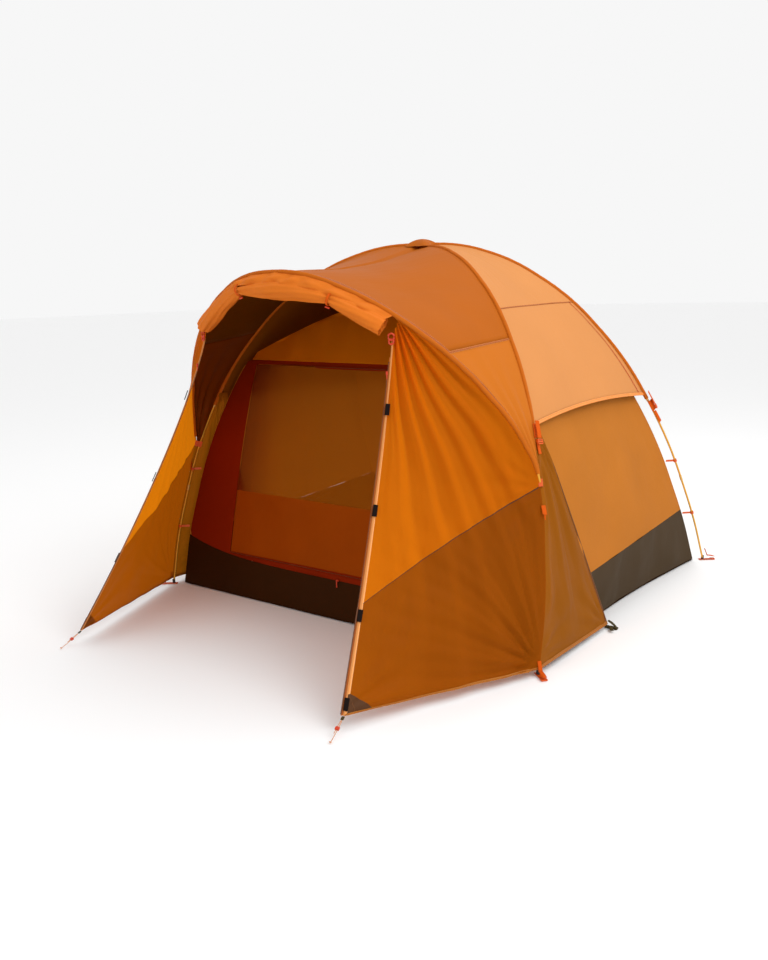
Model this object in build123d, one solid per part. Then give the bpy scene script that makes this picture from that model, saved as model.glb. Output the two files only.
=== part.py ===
from build123d import *
import math
import os

# Dome tent, four-person class. Millimetres. The origin is the middle of the floor, on the ground.
# +X is to the right seen from the front, -Y is the front, where the porch is, and +Z is up.

# ---- overall sizes -------------------------------------------------------------------------
FLOOR_WIDTH = 2400.0        # between the feet, left to right
FLOOR_DEPTH = 2100.0        # between the feet, front to back
PEAK_HEIGHT = 1905.0        # axis of the upper pole where the two poles cross
PEAK_SETBACK = -158.0       # the crossing stands this far in front of the floor's middle
PORCH_REACH = 893.0         # from the front feet out to the porch corners
PORCH_HALF_WIDTH = 837.0    # half the distance between the porch corners
PORCH_CORNER_HEIGHT = 62.0
HOOP_TOP_Y = -1347.0        # highest point of the porch hoop
HOOP_TOP_HEIGHT = 1785.0
HOOP_FOOT = 0.738           # where the hoop stands on the front legs, 0 at the peak, 1 at the foot

# ---- how the poles bend ---------------------------------------------------------------------
LEG_SQUARE = 1.0196         # height falls with the square of the way down,
LEG_FOURTH = 0.0983         # with its fourth power, and the rest with its eighth
LEG_BOW_X = 691.0           # sideways bow of every leg
LEG_BOW_FRONT = 149.0       # outward bow of the front legs, front to back
LEG_BOW_REAR = -362.0       # the rear legs bow the other way
HOOP_POWER_X = 1.116        # powers of the sine and cosine that round the hoop's shoulders
HOOP_POWER_Z = 1.278
HOOP_POWER_Y = 1.386
LEG_CORNERS = (0.10, 0.24, 0.40, 0.57, 0.74, 0.90)      # where a leg's arcs have their corners
HOOP_CORNERS = (0.13, 0.36, 0.56, 0.75, 0.89)
ARC_SHARE = 0.45            # share of the shorter run that a corner's arc takes at each side
APEX_HALF_RUN = 40.0        # bare pole each side of the crossing

# ---- section sizes --------------------------------------------------------------------------
POLE_R = 5.5
FERRULE_R = 7.0
FERRULE_LENGTH = 32.0
FIT = 0.25                  # running clearance of fixed rigid pieces
SLEEVE_IN_R = 8.5
SLEEVE_WALL = 2.0
CLOTH = 2.0                 # stand-in thickness of coated cloth
SEAM_GAP = 2.0              # between neighbouring cloth panels
WALL_INSET = 45.0           # the walls hang this far inside the poles
WEBBING_W = 22.0
WEBBING_T = 2.4
CORD_R = 1.5

# ---- heights and shares where panels change -------------------------------------------------
FLY_EDGE = 0.648            # the side fly ends here on the poles, measured as HOOP_FOOT is
FLY_EDGE_RISE = 0.012       # the fly's free edges are cut in an arch
WALL_TOP = 0.60
BUCKET_FRONT = 0.913        # top of the bucket floor at the front legs
BUCKET_REAR = 0.884         # and at the rear legs
FLOOR_BOW = 60.0            # the floor's side edges curve in this much
SILL_HEIGHT = 198.0         # door sill in the middle of the front wall
SILL_RISE = 85.0            # the sill climbs this much towards the legs
DOOR_HALF_WIDTH = 800.0
DOOR_TOP = 1265.0
DOOR_CORNER_R = 330.0
DOOR_BAND_TOP = 575.0       # the cloth part of the inner door ends here, netting above
DOOR_GAP = 6.0
VENT_TOP = 1600.0
VENT_BASE = 1290.0
PORCH_TOP = 0.384           # the porch door is cut out of the hoop between these, left and right
ZIP_TOP_DROP = 74.0
ZIP_POWER = 1.25            # the porch edge drops first, then runs out
SEAM_SHARE = 0.55           # porch cloth changes colour here, measured down its rear edge
SEAM_ZIP = 0.74             # and here down its front edge
PORCH_SAG = 30.0
STAKE_LOOP_Y = -347.0       # the side stake loops stand on the floor here
STAKE_LOOP_X = 1223.0
ROLL_R = 45.0               # the rolled porch door, and its waist at each tie
ROLL_WAIST = 24.0
ROLL_CLEAR = 24.0           # between the roll and the hoop's sleeve
RINGS_PER_LUMP = 8
ROLL_STRAIGHT = 0.6         # how far each lump of the roll leaves the hoop's curve
TOGGLE_DROP = 13.0          # from the roll's waist to the middle of the toggle's bar
TOGGLE_LENGTH = 22.0
HOOP_SETOFF = 2 * POLE_R + 6.0      # the hoop's feet stand in front of the legs
TIP_FLOOR = 9.0             # a pole ends this far above the ground, in its tip
UPPER_POLE_LIFT = 2 * POLE_R + 1.2
SLEEVE_EDGE = SLEEVE_IN_R + SLEEVE_WALL + SEAM_GAP
FLY_TOP = 0.075             # the fly panels start here, clear of the crossing
REAR_FLY_GAP = SLEEVE_EDGE + 16.0       # the rear legs run nearly along the rear fly's edges
WING_GAP = SLEEVE_EDGE + 7.0
ROOF_SEAM = 0.65            # the front roof meets the shoulders here, 0 in the middle, 1 at a hoop foot
SHOULDER_END = 0.93
GROUND = 0.9995             # the cloth's lower edge, just above the ground
TIE_SHARES = (0.318, 0.806)  # along the roll, from its left end
CLIP_HEIGHTS = (668.0, 334.0)
STRAP_REACH = 46.0
LOCK_LENGTH = 26.0
LOCK_WIDTH = 30.0
LOCK_T = 5.0
ADJUSTER_DROP = 62.0        # the sleeve's tension buckle hangs this far below the sleeve's end
TAB_SHARES = (0.17, 0.374, 0.598, 0.955)     # down the zip
STAKE_OUT = 108.0           # the stake point stands this far in front of the porch corner
LOCK_DOWN = 58.0            # the line lock sits this far down the cord
STRAND = 7.0                # between the two strands of the doubled cord
CORD_START = 20.0           # the doubled cord turns round the corner's loop here
TAIL = 24.0                 # the short strand's end, past the line lock

FRONT, REAR = -1, 1
LEFT, RIGHT = -1, 1
SIDES = ((LEFT, "left"), (RIGHT, "right"))
CORNERS = tuple((side, end, f"{end_name}_{side_name}")
                for end, end_name in ((FRONT, "front"), (REAR, "rear"))
                for side, side_name in SIDES)
INSIDE = Vector(0, PEAK_SETBACK, PEAK_HEIGHT * 0.35)     # a point well inside, to tell in from out


# ---- the curves that everything hangs on ------------------------------------------------------
def leg(side, end, s):
    """Axis of one leg, from the peak at s = 0 to the foot at s = 1."""
    eighth = 1 - LEG_SQUARE - LEG_FOURTH
    fall = LEG_SQUARE * s**2 + LEG_FOURTH * s**4 + eighth * s**8
    bow = s * (1 - s**2)
    bow_y = LEG_BOW_FRONT if end == FRONT else LEG_BOW_REAR
    x = side * (FLOOR_WIDTH / 2 * s + LEG_BOW_X * bow)
    y = PEAK_SETBACK + (end * FLOOR_DEPTH / 2 - PEAK_SETBACK) * s + end * bow_y * bow
    return Vector(x, y, PEAK_HEIGHT * (1 - fall))


def hoop(t):
    """Axis of the porch hoop, from its left foot at t = -1 over the top to t = 1."""
    foot = leg(RIGHT, FRONT, HOOP_FOOT)
    turn = abs(t) * math.pi / 2
    out = math.sin(turn)**HOOP_POWER_X
    up = max(math.cos(turn), 0.0)**HOOP_POWER_Z
    x = math.copysign(foot.X * out, t)
    y = foot.Y - HOOP_SETOFF + (HOOP_TOP_Y - foot.Y) * up**HOOP_POWER_Y
    return Vector(x, y, foot.Z + (HOOP_TOP_HEIGHT - foot.Z) * up)


def mix(a, b, u):
    return a + (b - a) * u


def moved_towards(a, b, distance):
    return a + (b - a).normalized() * distance


# ---- poles --------------------------------------------------------------------------------------
def corner_radius(a, b, c):
    """Radius of the arc that rounds corner b of a route."""
    turn = math.radians((b - a).get_angle(c - b))
    return ARC_SHARE * min((b - a).length, (c - b).length) / math.tan(turn / 2)


def rounded_route(points, radii):
    if len(points) == 2:
        return Line(points[0], points[1])
    return FilletPolyline(*points, radius=radii)


def tube(points, radii, outer, inner=0.0):
    """A round bar or tube along a route of straight runs and tangent arcs."""
    route = rounded_route(points, radii)
    section = Circle(outer) - Circle(inner) if inner else Circle(outer)
    return sweep(Plane(route @ 0, z_dir=route % 0) * section, path=route).solid()


def leg_route(side, lift):
    """Corners of one crossing pole, from its front foot to its opposite rear foot."""
    rise = Vector(0, 0, lift)
    front = [leg(side, FRONT, s) for s in reversed(LEG_CORNERS)]
    rear = [leg(-side, REAR, s) for s in LEG_CORNERS]
    foot_lift = Vector(0, 0, TIP_FLOOR)
    front_foot = leg(side, FRONT, 1.0) + foot_lift
    rear_foot = leg(-side, REAR, 1.0) + foot_lift
    inner = [p + rise * (p.Z / PEAK_HEIGHT) for p in front + rear]
    return [front_foot] + inner + [rear_foot]


def hoop_route():
    ts = [-1.0] + [-t for t in reversed(HOOP_CORNERS)] + list(HOOP_CORNERS) + [1.0]
    return [hoop(t) for t in ts]


def route_radii(route):
    return [corner_radius(route[i - 1], route[i], route[i + 1]) for i in range(1, len(route) - 1)]


def pole_sections(route):
    """Pole sections, each round one corner, with the middle one round two, and their joints."""
    radii = route_radii(route)
    middle = len(route) // 2
    joints = [mix(route[i], route[i + 1], 0.5) for i in range(1, len(route) - 2) if i + 1 != middle]
    cuts = [route[0]] + joints + [route[-1]]
    sections = []
    corner = 1
    for start, stop in zip(cuts, cuts[1:]):
        count = 2 if corner == middle - 1 else 1
        bends = route[corner:corner + count]
        first = moved_towards(start, bends[0], FIT)
        last = moved_towards(stop, bends[-1], FIT)
        sections.append(tube([first, *bends, last], radii[corner - 1:corner - 1 + count], POLE_R))
        corner += count
    return sections, joints


def ferrules(route):
    """Short collars over the joints of a pole's sections."""
    _, joints = pole_sections(route)
    collars = []
    for joint in joints:
        nearest = min(range(len(route) - 1), key=lambda i: (mix(route[i], route[i + 1], 0.5) - joint).length)
        along = (route[nearest + 1] - route[nearest]).normalized()
        ring = Circle(FERRULE_R) - Circle(POLE_R + FIT / 5)
        start = Plane(joint - along * FERRULE_LENGTH / 2, z_dir=along)
        collars.append(extrude(start * ring, FERRULE_LENGTH).solid())
    return collars


def half_route(route, from_front):
    """One leg of a crossing pole, from the sleeve's lower end up to the bare stretch at the peak."""
    points = route if from_front else list(reversed(route))
    middle = len(route) // 2
    end = mix(points[2], points[3], 0.5)
    apex = mix(points[middle - 1], points[middle], 0.5)
    top = moved_towards(apex, points[middle - 1], APEX_HALF_RUN)
    return [end, *points[3:middle], top]


def sleeve(route, from_front):
    points = half_route(route, from_front)
    full = route if from_front else list(reversed(route))
    radii = route_radii(full)[2:len(route) // 2 - 1]
    return tube(points, radii, SLEEVE_IN_R + SLEEVE_WALL, SLEEVE_IN_R)


def hoop_sleeve():
    route = hoop_route()
    first = mix(route[0], route[1], 0.5)
    last = mix(route[-1], route[-2], 0.5)
    return tube([first, *route[1:-1], last], route_radii(route), SLEEVE_IN_R + SLEEVE_WALL, SLEEVE_IN_R)


def leg_direction(side, end, s):
    return (leg(side, end, s + 0.01) - leg(side, end, max(s - 0.01, 0.0))).normalized()


def hoop_direction(t):
    return (hoop(min(t + 0.01, 1.0)) - hoop(max(t - 0.01, -1.0))).normalized()


def spot_on_leg(side, end, line, height):
    """Point and direction (downwards) of a real leg's axis at a height."""
    foot, peak = (0.0, 0.5) if end == FRONT else (1.0, 0.5)
    for _ in range(30):
        middle = (foot + peak) / 2
        if (line @ middle).Z < height:
            foot = middle
        else:
            peak = middle
    down = line % foot if end == REAR else -(line % foot)
    return line @ foot, down.normalized()


def pole_tip(side, end, route):
    """Plastic foot over the end of a pole, with the pin that stands in the corner's eyelet."""
    foot = leg(side, end, 1.0)
    cap = Pos(foot.X, foot.Y, 4.0) * Cylinder(POLE_R + 2.5, 22, align=(Align.CENTER, Align.CENTER, Align.MIN))
    pin = Pos(foot.X, foot.Y, 0.6) * Cylinder(3.0, 4.0, align=(Align.CENTER, Align.CENTER, Align.MIN))
    bore = tube([route[0], route[1]], [], POLE_R + FIT)
    return (cap + pin - bore).solid()


# ---- cloth --------------------------------------------------------------------------------------
def triangle(a, b, c):
    return Face(Wire.make_polygon([a, b, c], close=True))


def cloth(point, across, down, thickness=CLOTH):
    """Closed thin solid on a grid of points point(u, v); it thickens towards the inside."""
    top = [[point(i / across, j / down) for j in range(down + 1)] for i in range(across + 1)]
    low = []
    for i in range(across + 1):
        row = []
        for j in range(down + 1):
            du = top[min(i + 1, across)][j] - top[max(i - 1, 0)][j]
            dv = top[i][min(j + 1, down)] - top[i][max(j - 1, 0)]
            normal = du.cross(dv).normalized()
            inward = normal if normal.dot(INSIDE - top[i][j]) > 0 else -normal
            row.append(top[i][j] + inward * thickness)
        low.append(row)
    faces = []
    for grid in (top, low):
        for i in range(across):
            for j in range(down):
                a, b, c, d = grid[i][j], grid[i + 1][j], grid[i + 1][j + 1], grid[i][j + 1]
                faces += [triangle(a, b, c), triangle(a, c, d)]
    rim = [(i, 0) for i in range(across)] + [(across, j) for j in range(down)]
    rim += [(i, down) for i in range(across, 0, -1)] + [(0, j) for j in range(down, 0, -1)]
    for (i, j), (k, m) in zip(rim, rim[1:] + rim[:1]):
        faces += [triangle(top[i][j], top[k][m], low[k][m]), triangle(top[i][j], low[k][m], low[i][j])]
    solid = Solid(Shell(faces))
    return solid if solid.volume > 0 else Solid(solid.wrapped.Reversed())


def square_gap(a, b, along, gap):
    """Distance to go from a towards b to stand a gap off the curve that runs along a direction."""
    chord = (b - a).normalized()
    sine = chord.cross(along.normalized()).length
    return min(gap / max(sine, 0.2), (b - a).length * 0.45)


def span(a, b, u, gap, along_a, along_b):
    """A point between two curves' points, clear of both curves by a gap."""
    start = moved_towards(a, b, square_gap(a, b, along_a, gap))
    stop = moved_towards(b, a, square_gap(b, a, along_b, gap))
    return mix(start, stop, u)


def between_legs(side_a, end_a, side_b, end_b, u, s, gap):
    """Fly cloth between two legs, clear of their sleeves."""
    return span(leg(side_a, end_a, s), leg(side_b, end_b, s), u, gap,
                leg_direction(side_a, end_a, s), leg_direction(side_b, end_b, s))


def fly_side(side):
    """Side fly panel, between the two sleeves of that side, with an arched lower edge."""
    def point(u, v):
        low = FLY_EDGE - FLY_EDGE_RISE * 4 * u * (1 - u)
        s = FLY_TOP + (low - FLY_TOP) * v
        return between_legs(side, FRONT, side, REAR, u, s, SLEEVE_EDGE + 1.0)
    return cloth(point, 6, 9)


def fly_rear():
    """Rear fly panel, between the two rear sleeves."""
    def point(u, v):
        low = FLY_EDGE - FLY_EDGE_RISE * 4 * u * (1 - u)
        s = FLY_TOP + (low - FLY_TOP) * v
        return between_legs(LEFT, REAR, RIGHT, REAR, u, s, REAR_FLY_GAP)
    return cloth(point, 6, 9)


def roof_point(w, v):
    """Front roof cloth, from the front legs at v = 0 to the hoop at v = 1."""
    side = RIGHT if w >= 0 else LEFT
    s = HOOP_FOOT * abs(w)
    t = math.copysign(abs(w)**1.5, w)
    back = leg(side, FRONT, s)
    return span(back, hoop(t), v, SLEEVE_EDGE + 4.0, leg_direction(side, FRONT, s), hoop_direction(t))


def fly_roof():
    return cloth(lambda u, v: roof_point(ROOF_SEAM * (2 * u - 1), 0.004 + 0.992 * v), 12, 5)


def fly_shoulder(side):
    start = ROOF_SEAM + 0.004
    return cloth(lambda u, v: roof_point(side * mix(start, SHOULDER_END, u), v), 6, 5)


def apex_patch():
    """Domed patch over the crossing."""
    rings = []
    for radius, height in ((95.0, 12.0), (60.0, 18.0), (6.0, 22.0)):
        rings.append(Plane((0, PEAK_SETBACK, PEAK_HEIGHT + height - 12.0 + POLE_R + 2)) * Circle(radius))
    return loft(rings, ruled=True).solid()


def wall_point(side, u, s, extra=0.0):
    """Side wall cloth, hung inside the poles; u runs from the front to the rear."""
    front = leg(side, FRONT, s) + Vector(-side * WALL_INSET, WALL_INSET, 0)
    rear = leg(side, REAR, s) + Vector(-side * WALL_INSET, -WALL_INSET, 0)
    return mix(front, rear, u) - Vector(side * extra, 0, 0)


def bucket_edge(u):
    return mix(BUCKET_FRONT, BUCKET_REAR, u)


def side_wall(side):
    def point(u, v):
        return wall_point(side, u, mix(WALL_TOP - FLY_EDGE_RISE * 4 * u * (1 - u), bucket_edge(u) - 0.002, v))
    return cloth(point, 4, 6)


def side_bucket(side):
    def point(u, v):
        s = mix(bucket_edge(u) + 0.001, GROUND, v)
        return wall_point(side, u, s, FLOOR_BOW * v * math.sin(math.pi * u))
    return cloth(point, 8, 3)


def rear_point(u, s):
    left = leg(LEFT, REAR, s) + Vector(WALL_INSET + 6, -WALL_INSET + 6, 0)
    right = leg(RIGHT, REAR, s) + Vector(-WALL_INSET - 6, -WALL_INSET + 6, 0)
    return mix(left, right, u)


def rear_wall():
    def point(u, v):
        return rear_point(u, mix(WALL_TOP - FLY_EDGE_RISE * 4 * u * (1 - u), BUCKET_REAR - 0.002, v))
    return cloth(point, 4, 6)


def rear_bucket():
    return cloth(lambda u, v: rear_point(u, mix(BUCKET_REAR + 0.001, GROUND, v)), 6, 3)


def front_point(x_share, z):
    """Front wall cloth at a height z; x_share runs from -1 at the left leg to 1 at the right."""
    s = leg_share_at(z)
    post = leg(RIGHT, FRONT, s)
    return Vector(x_share * (post.X - WALL_INSET - 6), post.Y + WALL_INSET - 6, z)


def leg_share_at(z):
    """The way down a leg, 0 to 1, where its height is z."""
    low, high = 0.0, 1.0
    for _ in range(40):
        middle = (low + high) / 2
        if leg(RIGHT, FRONT, middle).Z > z:
            low = middle
        else:
            high = middle
    return (low + high) / 2


def sill(x_share):
    return SILL_HEIGHT + SILL_RISE * x_share**4


def front_bucket():
    return cloth(lambda u, v: front_point(2 * u - 1, mix(sill(2 * u - 1) - SEAM_GAP / 2, 1.0, v)), 8, 3)


def front_wall_blank():
    """The whole front wall above the sill, before its door is cut out."""
    return cloth(lambda u, v: front_point(2 * u - 1, mix(VENT_BASE, sill(2 * u - 1) + SEAM_GAP / 2, v)), 8, 8)


def door_outline(grow):
    """Front view of the inner door: straight at its left, round at its right."""
    left = -DOOR_HALF_WIDTH - grow
    right = DOOR_HALF_WIDTH + grow
    base = SILL_HEIGHT + SILL_RISE * 0.4 - grow
    top = DOOR_TOP + grow
    r = DOOR_CORNER_R + grow
    edge = Polyline((right - r, base), (left, base), (left, top), (right - r, top))
    upper = RadiusArc((right - r, top), (right, top - r), r)
    side = Line((right, top - r), (right, base + r))
    lower = RadiusArc((right, base + r), (right - r, base), r)
    return make_face(Curve() + [edge, upper, side, lower])


def door_prism(grow, low=0.0, high=PEAK_HEIGHT):
    face = Plane.XZ * door_outline(grow)
    prism = extrude(face, FLOOR_DEPTH, dir=(0, -1, 0))
    slab = Pos(0, -FLOOR_DEPTH / 2, (low + high) / 2) * Box(FLOOR_WIDTH, FLOOR_DEPTH, high - low)
    return prism & slab


def front_wall():
    return (front_wall_blank() - door_prism(DOOR_GAP)).solid()


def door_band():
    return (front_wall_blank() & door_prism(0, 0, DOOR_BAND_TOP - SEAM_GAP / 2)).solid()


def door_netting():
    return (front_wall_blank() & door_prism(0, DOOR_BAND_TOP + SEAM_GAP / 2)).solid()


def front_vent():
    """Half-moon of cloth above the door, up under the roof."""
    def point(u, v):
        x_share = 2 * u - 1
        arch = VENT_BASE + (VENT_TOP - VENT_BASE) * (1 - 0.86 * x_share**2)
        return front_point(x_share * 0.97, mix(VENT_BASE + SEAM_GAP, arch, v))
    return cloth(point, 8, 4)


# ---- porch ------------------------------------------------------------------------------------
def porch_back(side, r):
    """Rear edge of a porch wall: down the hoop to its foot, then down the leg."""
    if r < SEAM_SHARE:
        t = mix(PORCH_TOP, 1.0, r / SEAM_SHARE)
        return hoop(side * t)
    s = mix(HOOP_FOOT, 0.985, (r - SEAM_SHARE) / (1 - SEAM_SHARE))
    return leg(side, FRONT, s)


def porch_front(side, r):
    """Front, zipped edge of a porch wall, from the hoop down to the porch corner."""
    if r < SEAM_SHARE:
        down = SEAM_ZIP * r / SEAM_SHARE
    else:
        down = mix(SEAM_ZIP, 1.0, (r - SEAM_SHARE) / (1 - SEAM_SHARE))
    top = hoop(side * PORCH_TOP) - Vector(0, 12, ZIP_TOP_DROP)
    foot = Vector(side * PORCH_HALF_WIDTH, -FLOOR_DEPTH / 2 - PORCH_REACH, PORCH_CORNER_HEIGHT)
    flat = mix(top, foot, down**ZIP_POWER)
    return Vector(flat.X, flat.Y, mix(top.Z, foot.Z, down))


def porch_point(side, u, r):
    """Porch cloth; u runs from the pole side to the zip."""
    back = porch_back(side, r)
    front = porch_front(side, r)
    along = (porch_back(side, min(r + 0.01, 1.0)) - porch_back(side, r - 0.01)).normalized()
    gap = square_gap(back, front, along, SLEEVE_EDGE + 8.0)
    base = mix(moved_towards(back, front, gap), front, u)
    pull = PORCH_SAG * math.sin(math.pi * u) * math.sin(math.pi * min(r * 1.05, 1.0))
    return base - Vector(side * pull, 0, 0)


def porch_upper(side):
    return cloth(lambda u, v: porch_point(side, u, mix(0.05, SEAM_SHARE - 0.001, v)), 6, 9)


def porch_lower(side):
    return cloth(lambda u, v: porch_point(side, u, mix(SEAM_SHARE + 0.001, 1.0, v)), 6, 7)


def wing_point(side, u, v):
    """Side wing: from the leg back to the side stake loop, pointed at its top."""
    s = mix(FLY_EDGE + 0.022, 0.985, v)
    front = leg(side, FRONT, s)
    start = leg(side, FRONT, FLY_EDGE + 0.022) + Vector(0, 62, 0)
    loop = Vector(side * (STAKE_LOOP_X - 14), STAKE_LOOP_Y, 34)
    rear = mix(start, loop, v) + Vector(side * 46 * math.sin(math.pi * v), 0, 0)
    return mix(moved_towards(front, rear, WING_GAP), rear, u)


def wing(side):
    return cloth(lambda u, v: wing_point(side, u, v), 4, 8)


def under_hoop(share):
    """A point under the hoop, a share of the way along the roll from left to right."""
    t = mix(-PORCH_TOP, PORCH_TOP, share)
    ahead = hoop_direction(t)
    down = (Vector(0, -0.35, -1) + ahead * ahead.Z).normalized()
    return hoop(t) + down * (ROLL_R + SLEEVE_EDGE + ROLL_CLEAR)


def roll_lump(share):
    """The lump that holds a share of the roll: where it starts, where it stops, and how far along."""
    knots = (0.0, *TIE_SHARES, 1.0)
    number = sum(share > knot for knot in TIE_SHARES)
    low, high = knots[number], knots[number + 1]
    return low, high, (share - low) / (high - low)


def roll_middle(share):
    """The roll's middle: each lump sags from the hoop's curve towards a straight line between its ties."""
    low, high, along = roll_lump(share)
    return mix(under_hoop(share), mix(under_hoop(low), under_hoop(high), along), ROLL_STRAIGHT)


def roll_axis(share):
    """Middle of the roll and its direction, a share of the way from left to right."""
    step = 0.012
    ahead = roll_middle(min(share + step, 1.0)) - roll_middle(max(share - step, 0.0))
    return roll_middle(share), ahead.normalized()


def rolled_door():
    """The porch door, rolled up under the hoop and tied twice: three soft lumps in a row."""
    knots = (0.0, *TIE_SHARES, 1.0)
    shares = [mix(low, high, i / RINGS_PER_LUMP) for low, high in zip(knots, knots[1:])
              for i in range(RINGS_PER_LUMP)]
    rings = []
    for share in [*shares, 1.0]:
        middle, ahead = roll_axis(share)
        along = roll_lump(share)[2]
        radius = ROLL_WAIST + (ROLL_R - ROLL_WAIST) * max(math.sin(math.pi * along), 0.0)**0.7
        rings.append(Plane(middle, z_dir=ahead) * Circle(radius))
    return loft(rings, ruled=True).solid()


def roll_tie(share):
    """Webbing loop round the roll's waist, hung from the hoop's sleeve."""
    centre, ahead = roll_axis(share)
    ring = Circle(ROLL_WAIST + 5.0) - Circle(ROLL_WAIST + 3.0)
    return extrude(Plane(centre - ahead * 5, z_dir=ahead) * ring, 10).solid()


def below_tie(share):
    """Where a tie's toggle hangs: its middle, the way out from the roll, and the roll's direction."""
    middle, ahead = roll_axis(share)
    out = (Vector(0, 0, -1) + ahead * ahead.Z).normalized()
    return middle + out * (ROLL_WAIST + TOGGLE_DROP), out, ahead


def roll_toggle(share):
    """Little bar that buttons the tie, below the roll."""
    centre, _, ahead = below_tie(share)
    bar = Plane(centre - ahead * TOGGLE_LENGTH / 2, z_dir=ahead) * Circle(4.0)
    return extrude(bar, TOGGLE_LENGTH).solid()


# ---- small pieces ---------------------------------------------------------------------------------
def floor_sheet():
    """Floor cloth inside the foot of the bucket."""
    inset = WALL_INSET + CLOTH + SEAM_GAP + 2
    half_w = FLOOR_WIDTH / 2 - inset
    half_d = FLOOR_DEPTH / 2 - inset + 4
    bow = FLOOR_BOW + 4
    right = ThreePointArc((half_w, -half_d), (half_w - bow, 0), (half_w, half_d))
    left = ThreePointArc((-half_w, half_d), (-half_w + bow, 0), (-half_w, -half_d))
    back = Line((half_w, half_d), (-half_w, half_d))
    front = Line((-half_w, -half_d), (half_w, -half_d))
    return extrude(make_face(Curve() + [right, back, left, front]), CLOTH).solid()


def pole_clip(side, end, line, height):
    """Hook round the pole, with the short strap that holds the wall to it."""
    centre, along = spot_on_leg(side, end, line, height)
    ring = Circle(POLE_R + 4.5) - Circle(POLE_R + 1.6)
    hook = extrude(Plane(centre - along * 7, z_dir=along) * ring, 14)
    wall = leg(side, end, leg_share_at(height)) + Vector(-side * (WALL_INSET + 6), -end * (WALL_INSET - 6), 0)
    inward = (wall - centre).normalized()
    length = (wall - centre).length - POLE_R - 1.2 - 4.0 - CLOTH
    middle = centre + inward * (POLE_R + 2.2 + length / 2)
    frame = Plane(middle, x_dir=inward, z_dir=along.cross(inward))
    strap = frame * Box(length, 12, 1.6)
    return (hook + strap).solid()


def hoop_socket(side, line):
    """Moulded cup that joins the hoop's foot to the leg."""
    foot = hoop(side * 1.0)
    seat, along = spot_on_leg(side, FRONT, line, foot.Z)
    middle = mix(seat, foot, 0.5) - along * 4
    frame = Plane(middle, x_dir=(foot - seat).normalized(), z_dir=along)
    block = frame * Box(2 * POLE_R + (foot - seat).length + 8, 2 * POLE_R + 8, 34)
    legs_bore = tube([seat - along * 40, seat + along * 40], [], POLE_R + 1.6)
    route = hoop_route()
    end, inner = (route[-1], route[-2]) if side == RIGHT else (route[0], route[1])
    hoop_bore = tube([end, inner], [], POLE_R + FIT)
    return (block - legs_bore - hoop_bore).solid()


def corner_frame(side, end):
    """Frame at a foot: x runs outwards along the floor's diagonal, z is up."""
    foot = leg(side, end, 1.0)
    outward = Vector(side, end * 0.8, 0).normalized()
    return Plane((foot.X, foot.Y, 0), x_dir=outward, z_dir=(0, 0, 1))


def corner_strap(side, end):
    """Webbing tongue under a foot, with the eyelet for the pole tip."""
    frame = corner_frame(side, end)
    tongue = Pos((STRAP_REACH - 22) / 2, 0, 1.0 + WEBBING_T / 2) * Box(STRAP_REACH + 22, WEBBING_W, WEBBING_T)
    eyelet = Cylinder(3.4, 20)
    return (frame * (tongue - eyelet)).solid()


def ladder_lock(side, end):
    """Three-bar buckle on the end of the corner strap."""
    frame = corner_frame(side, end)
    body = Box(LOCK_LENGTH, LOCK_WIDTH, LOCK_T)
    body = fillet(body.edges().filter_by(Axis.Z), 4.0)
    slots = Pos(-6, 0, 0) * Box(5, WEBBING_W + 1, 20) + Pos(6, 0, 0) * Box(5, WEBBING_W + 1, 20)
    place = Pos(STRAP_REACH + 1.5 + LOCK_LENGTH / 2, 0, LOCK_T / 2 + 0.8)
    return (frame * (place * (body - slots))).solid()


def sleeve_end(side, end):
    """Where the sleeve ends on its pole, and the pole's direction there."""
    s = (LEG_CORNERS[3] + LEG_CORNERS[4]) / 2
    return leg(side, end, s), leg_direction(side, end, s)


def outward_of(side, end):
    return Vector(side * 0.93, end * 0.37, 0).normalized()


def tension_strap(side, end):
    """Webbing that runs down the outside of the pole from the sleeve's end to its buckle."""
    start, along = sleeve_end(side, end)
    out = outward_of(side, end)
    face = out - along * out.dot(along)
    frame = Plane(start + face.normalized() * (SLEEVE_EDGE + 4) + along * (ADJUSTER_DROP / 2 - 22),
                  x_dir=along, z_dir=face.normalized())
    return (frame * Box(ADJUSTER_DROP + 18, WEBBING_W, WEBBING_T)).solid()


def tension_lock(side, end):
    """Buckle that pulls the sleeve tight along its pole."""
    start, along = sleeve_end(side, end)
    out = outward_of(side, end)
    face = (out - along * out.dot(along)).normalized()
    place = start + face * (SLEEVE_EDGE + 4) + along * (ADJUSTER_DROP + 4)
    frame = Plane(place, x_dir=along, z_dir=face)
    body = fillet(Box(24, LOCK_WIDTH - 2, LOCK_T).edges().filter_by(Axis.Z), 4.0)
    slots = Pos(-5.5, 0, 0) * Box(4.5, WEBBING_W + 1, 20) + Pos(5.5, 0, 0) * Box(4.5, WEBBING_W + 1, 20)
    return (frame * (body - slots)).solid()


def stake_loop(side):
    """Webbing loop sewn to the side of the floor, for a stake."""
    outer = Pos(side * (STAKE_LOOP_X + 6), STAKE_LOOP_Y, 5) * Box(64, 20, 9)
    hole = Pos(side * (STAKE_LOOP_X + 18), STAKE_LOOP_Y, 5) * Box(26, 30, 5)
    return (outer - hole).solid()


def zip_tape(side):
    """Zip tape along the front edge of a porch wall."""
    def point(u, v):
        r = mix(0.05, 0.995, v)
        edge = porch_front(side, r)
        back = porch_back(side, r)
        out = (edge - back).normalized()
        return edge + out * (SEAM_GAP + 12.0 * u)
    return cloth(point, 1, 20)


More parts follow.
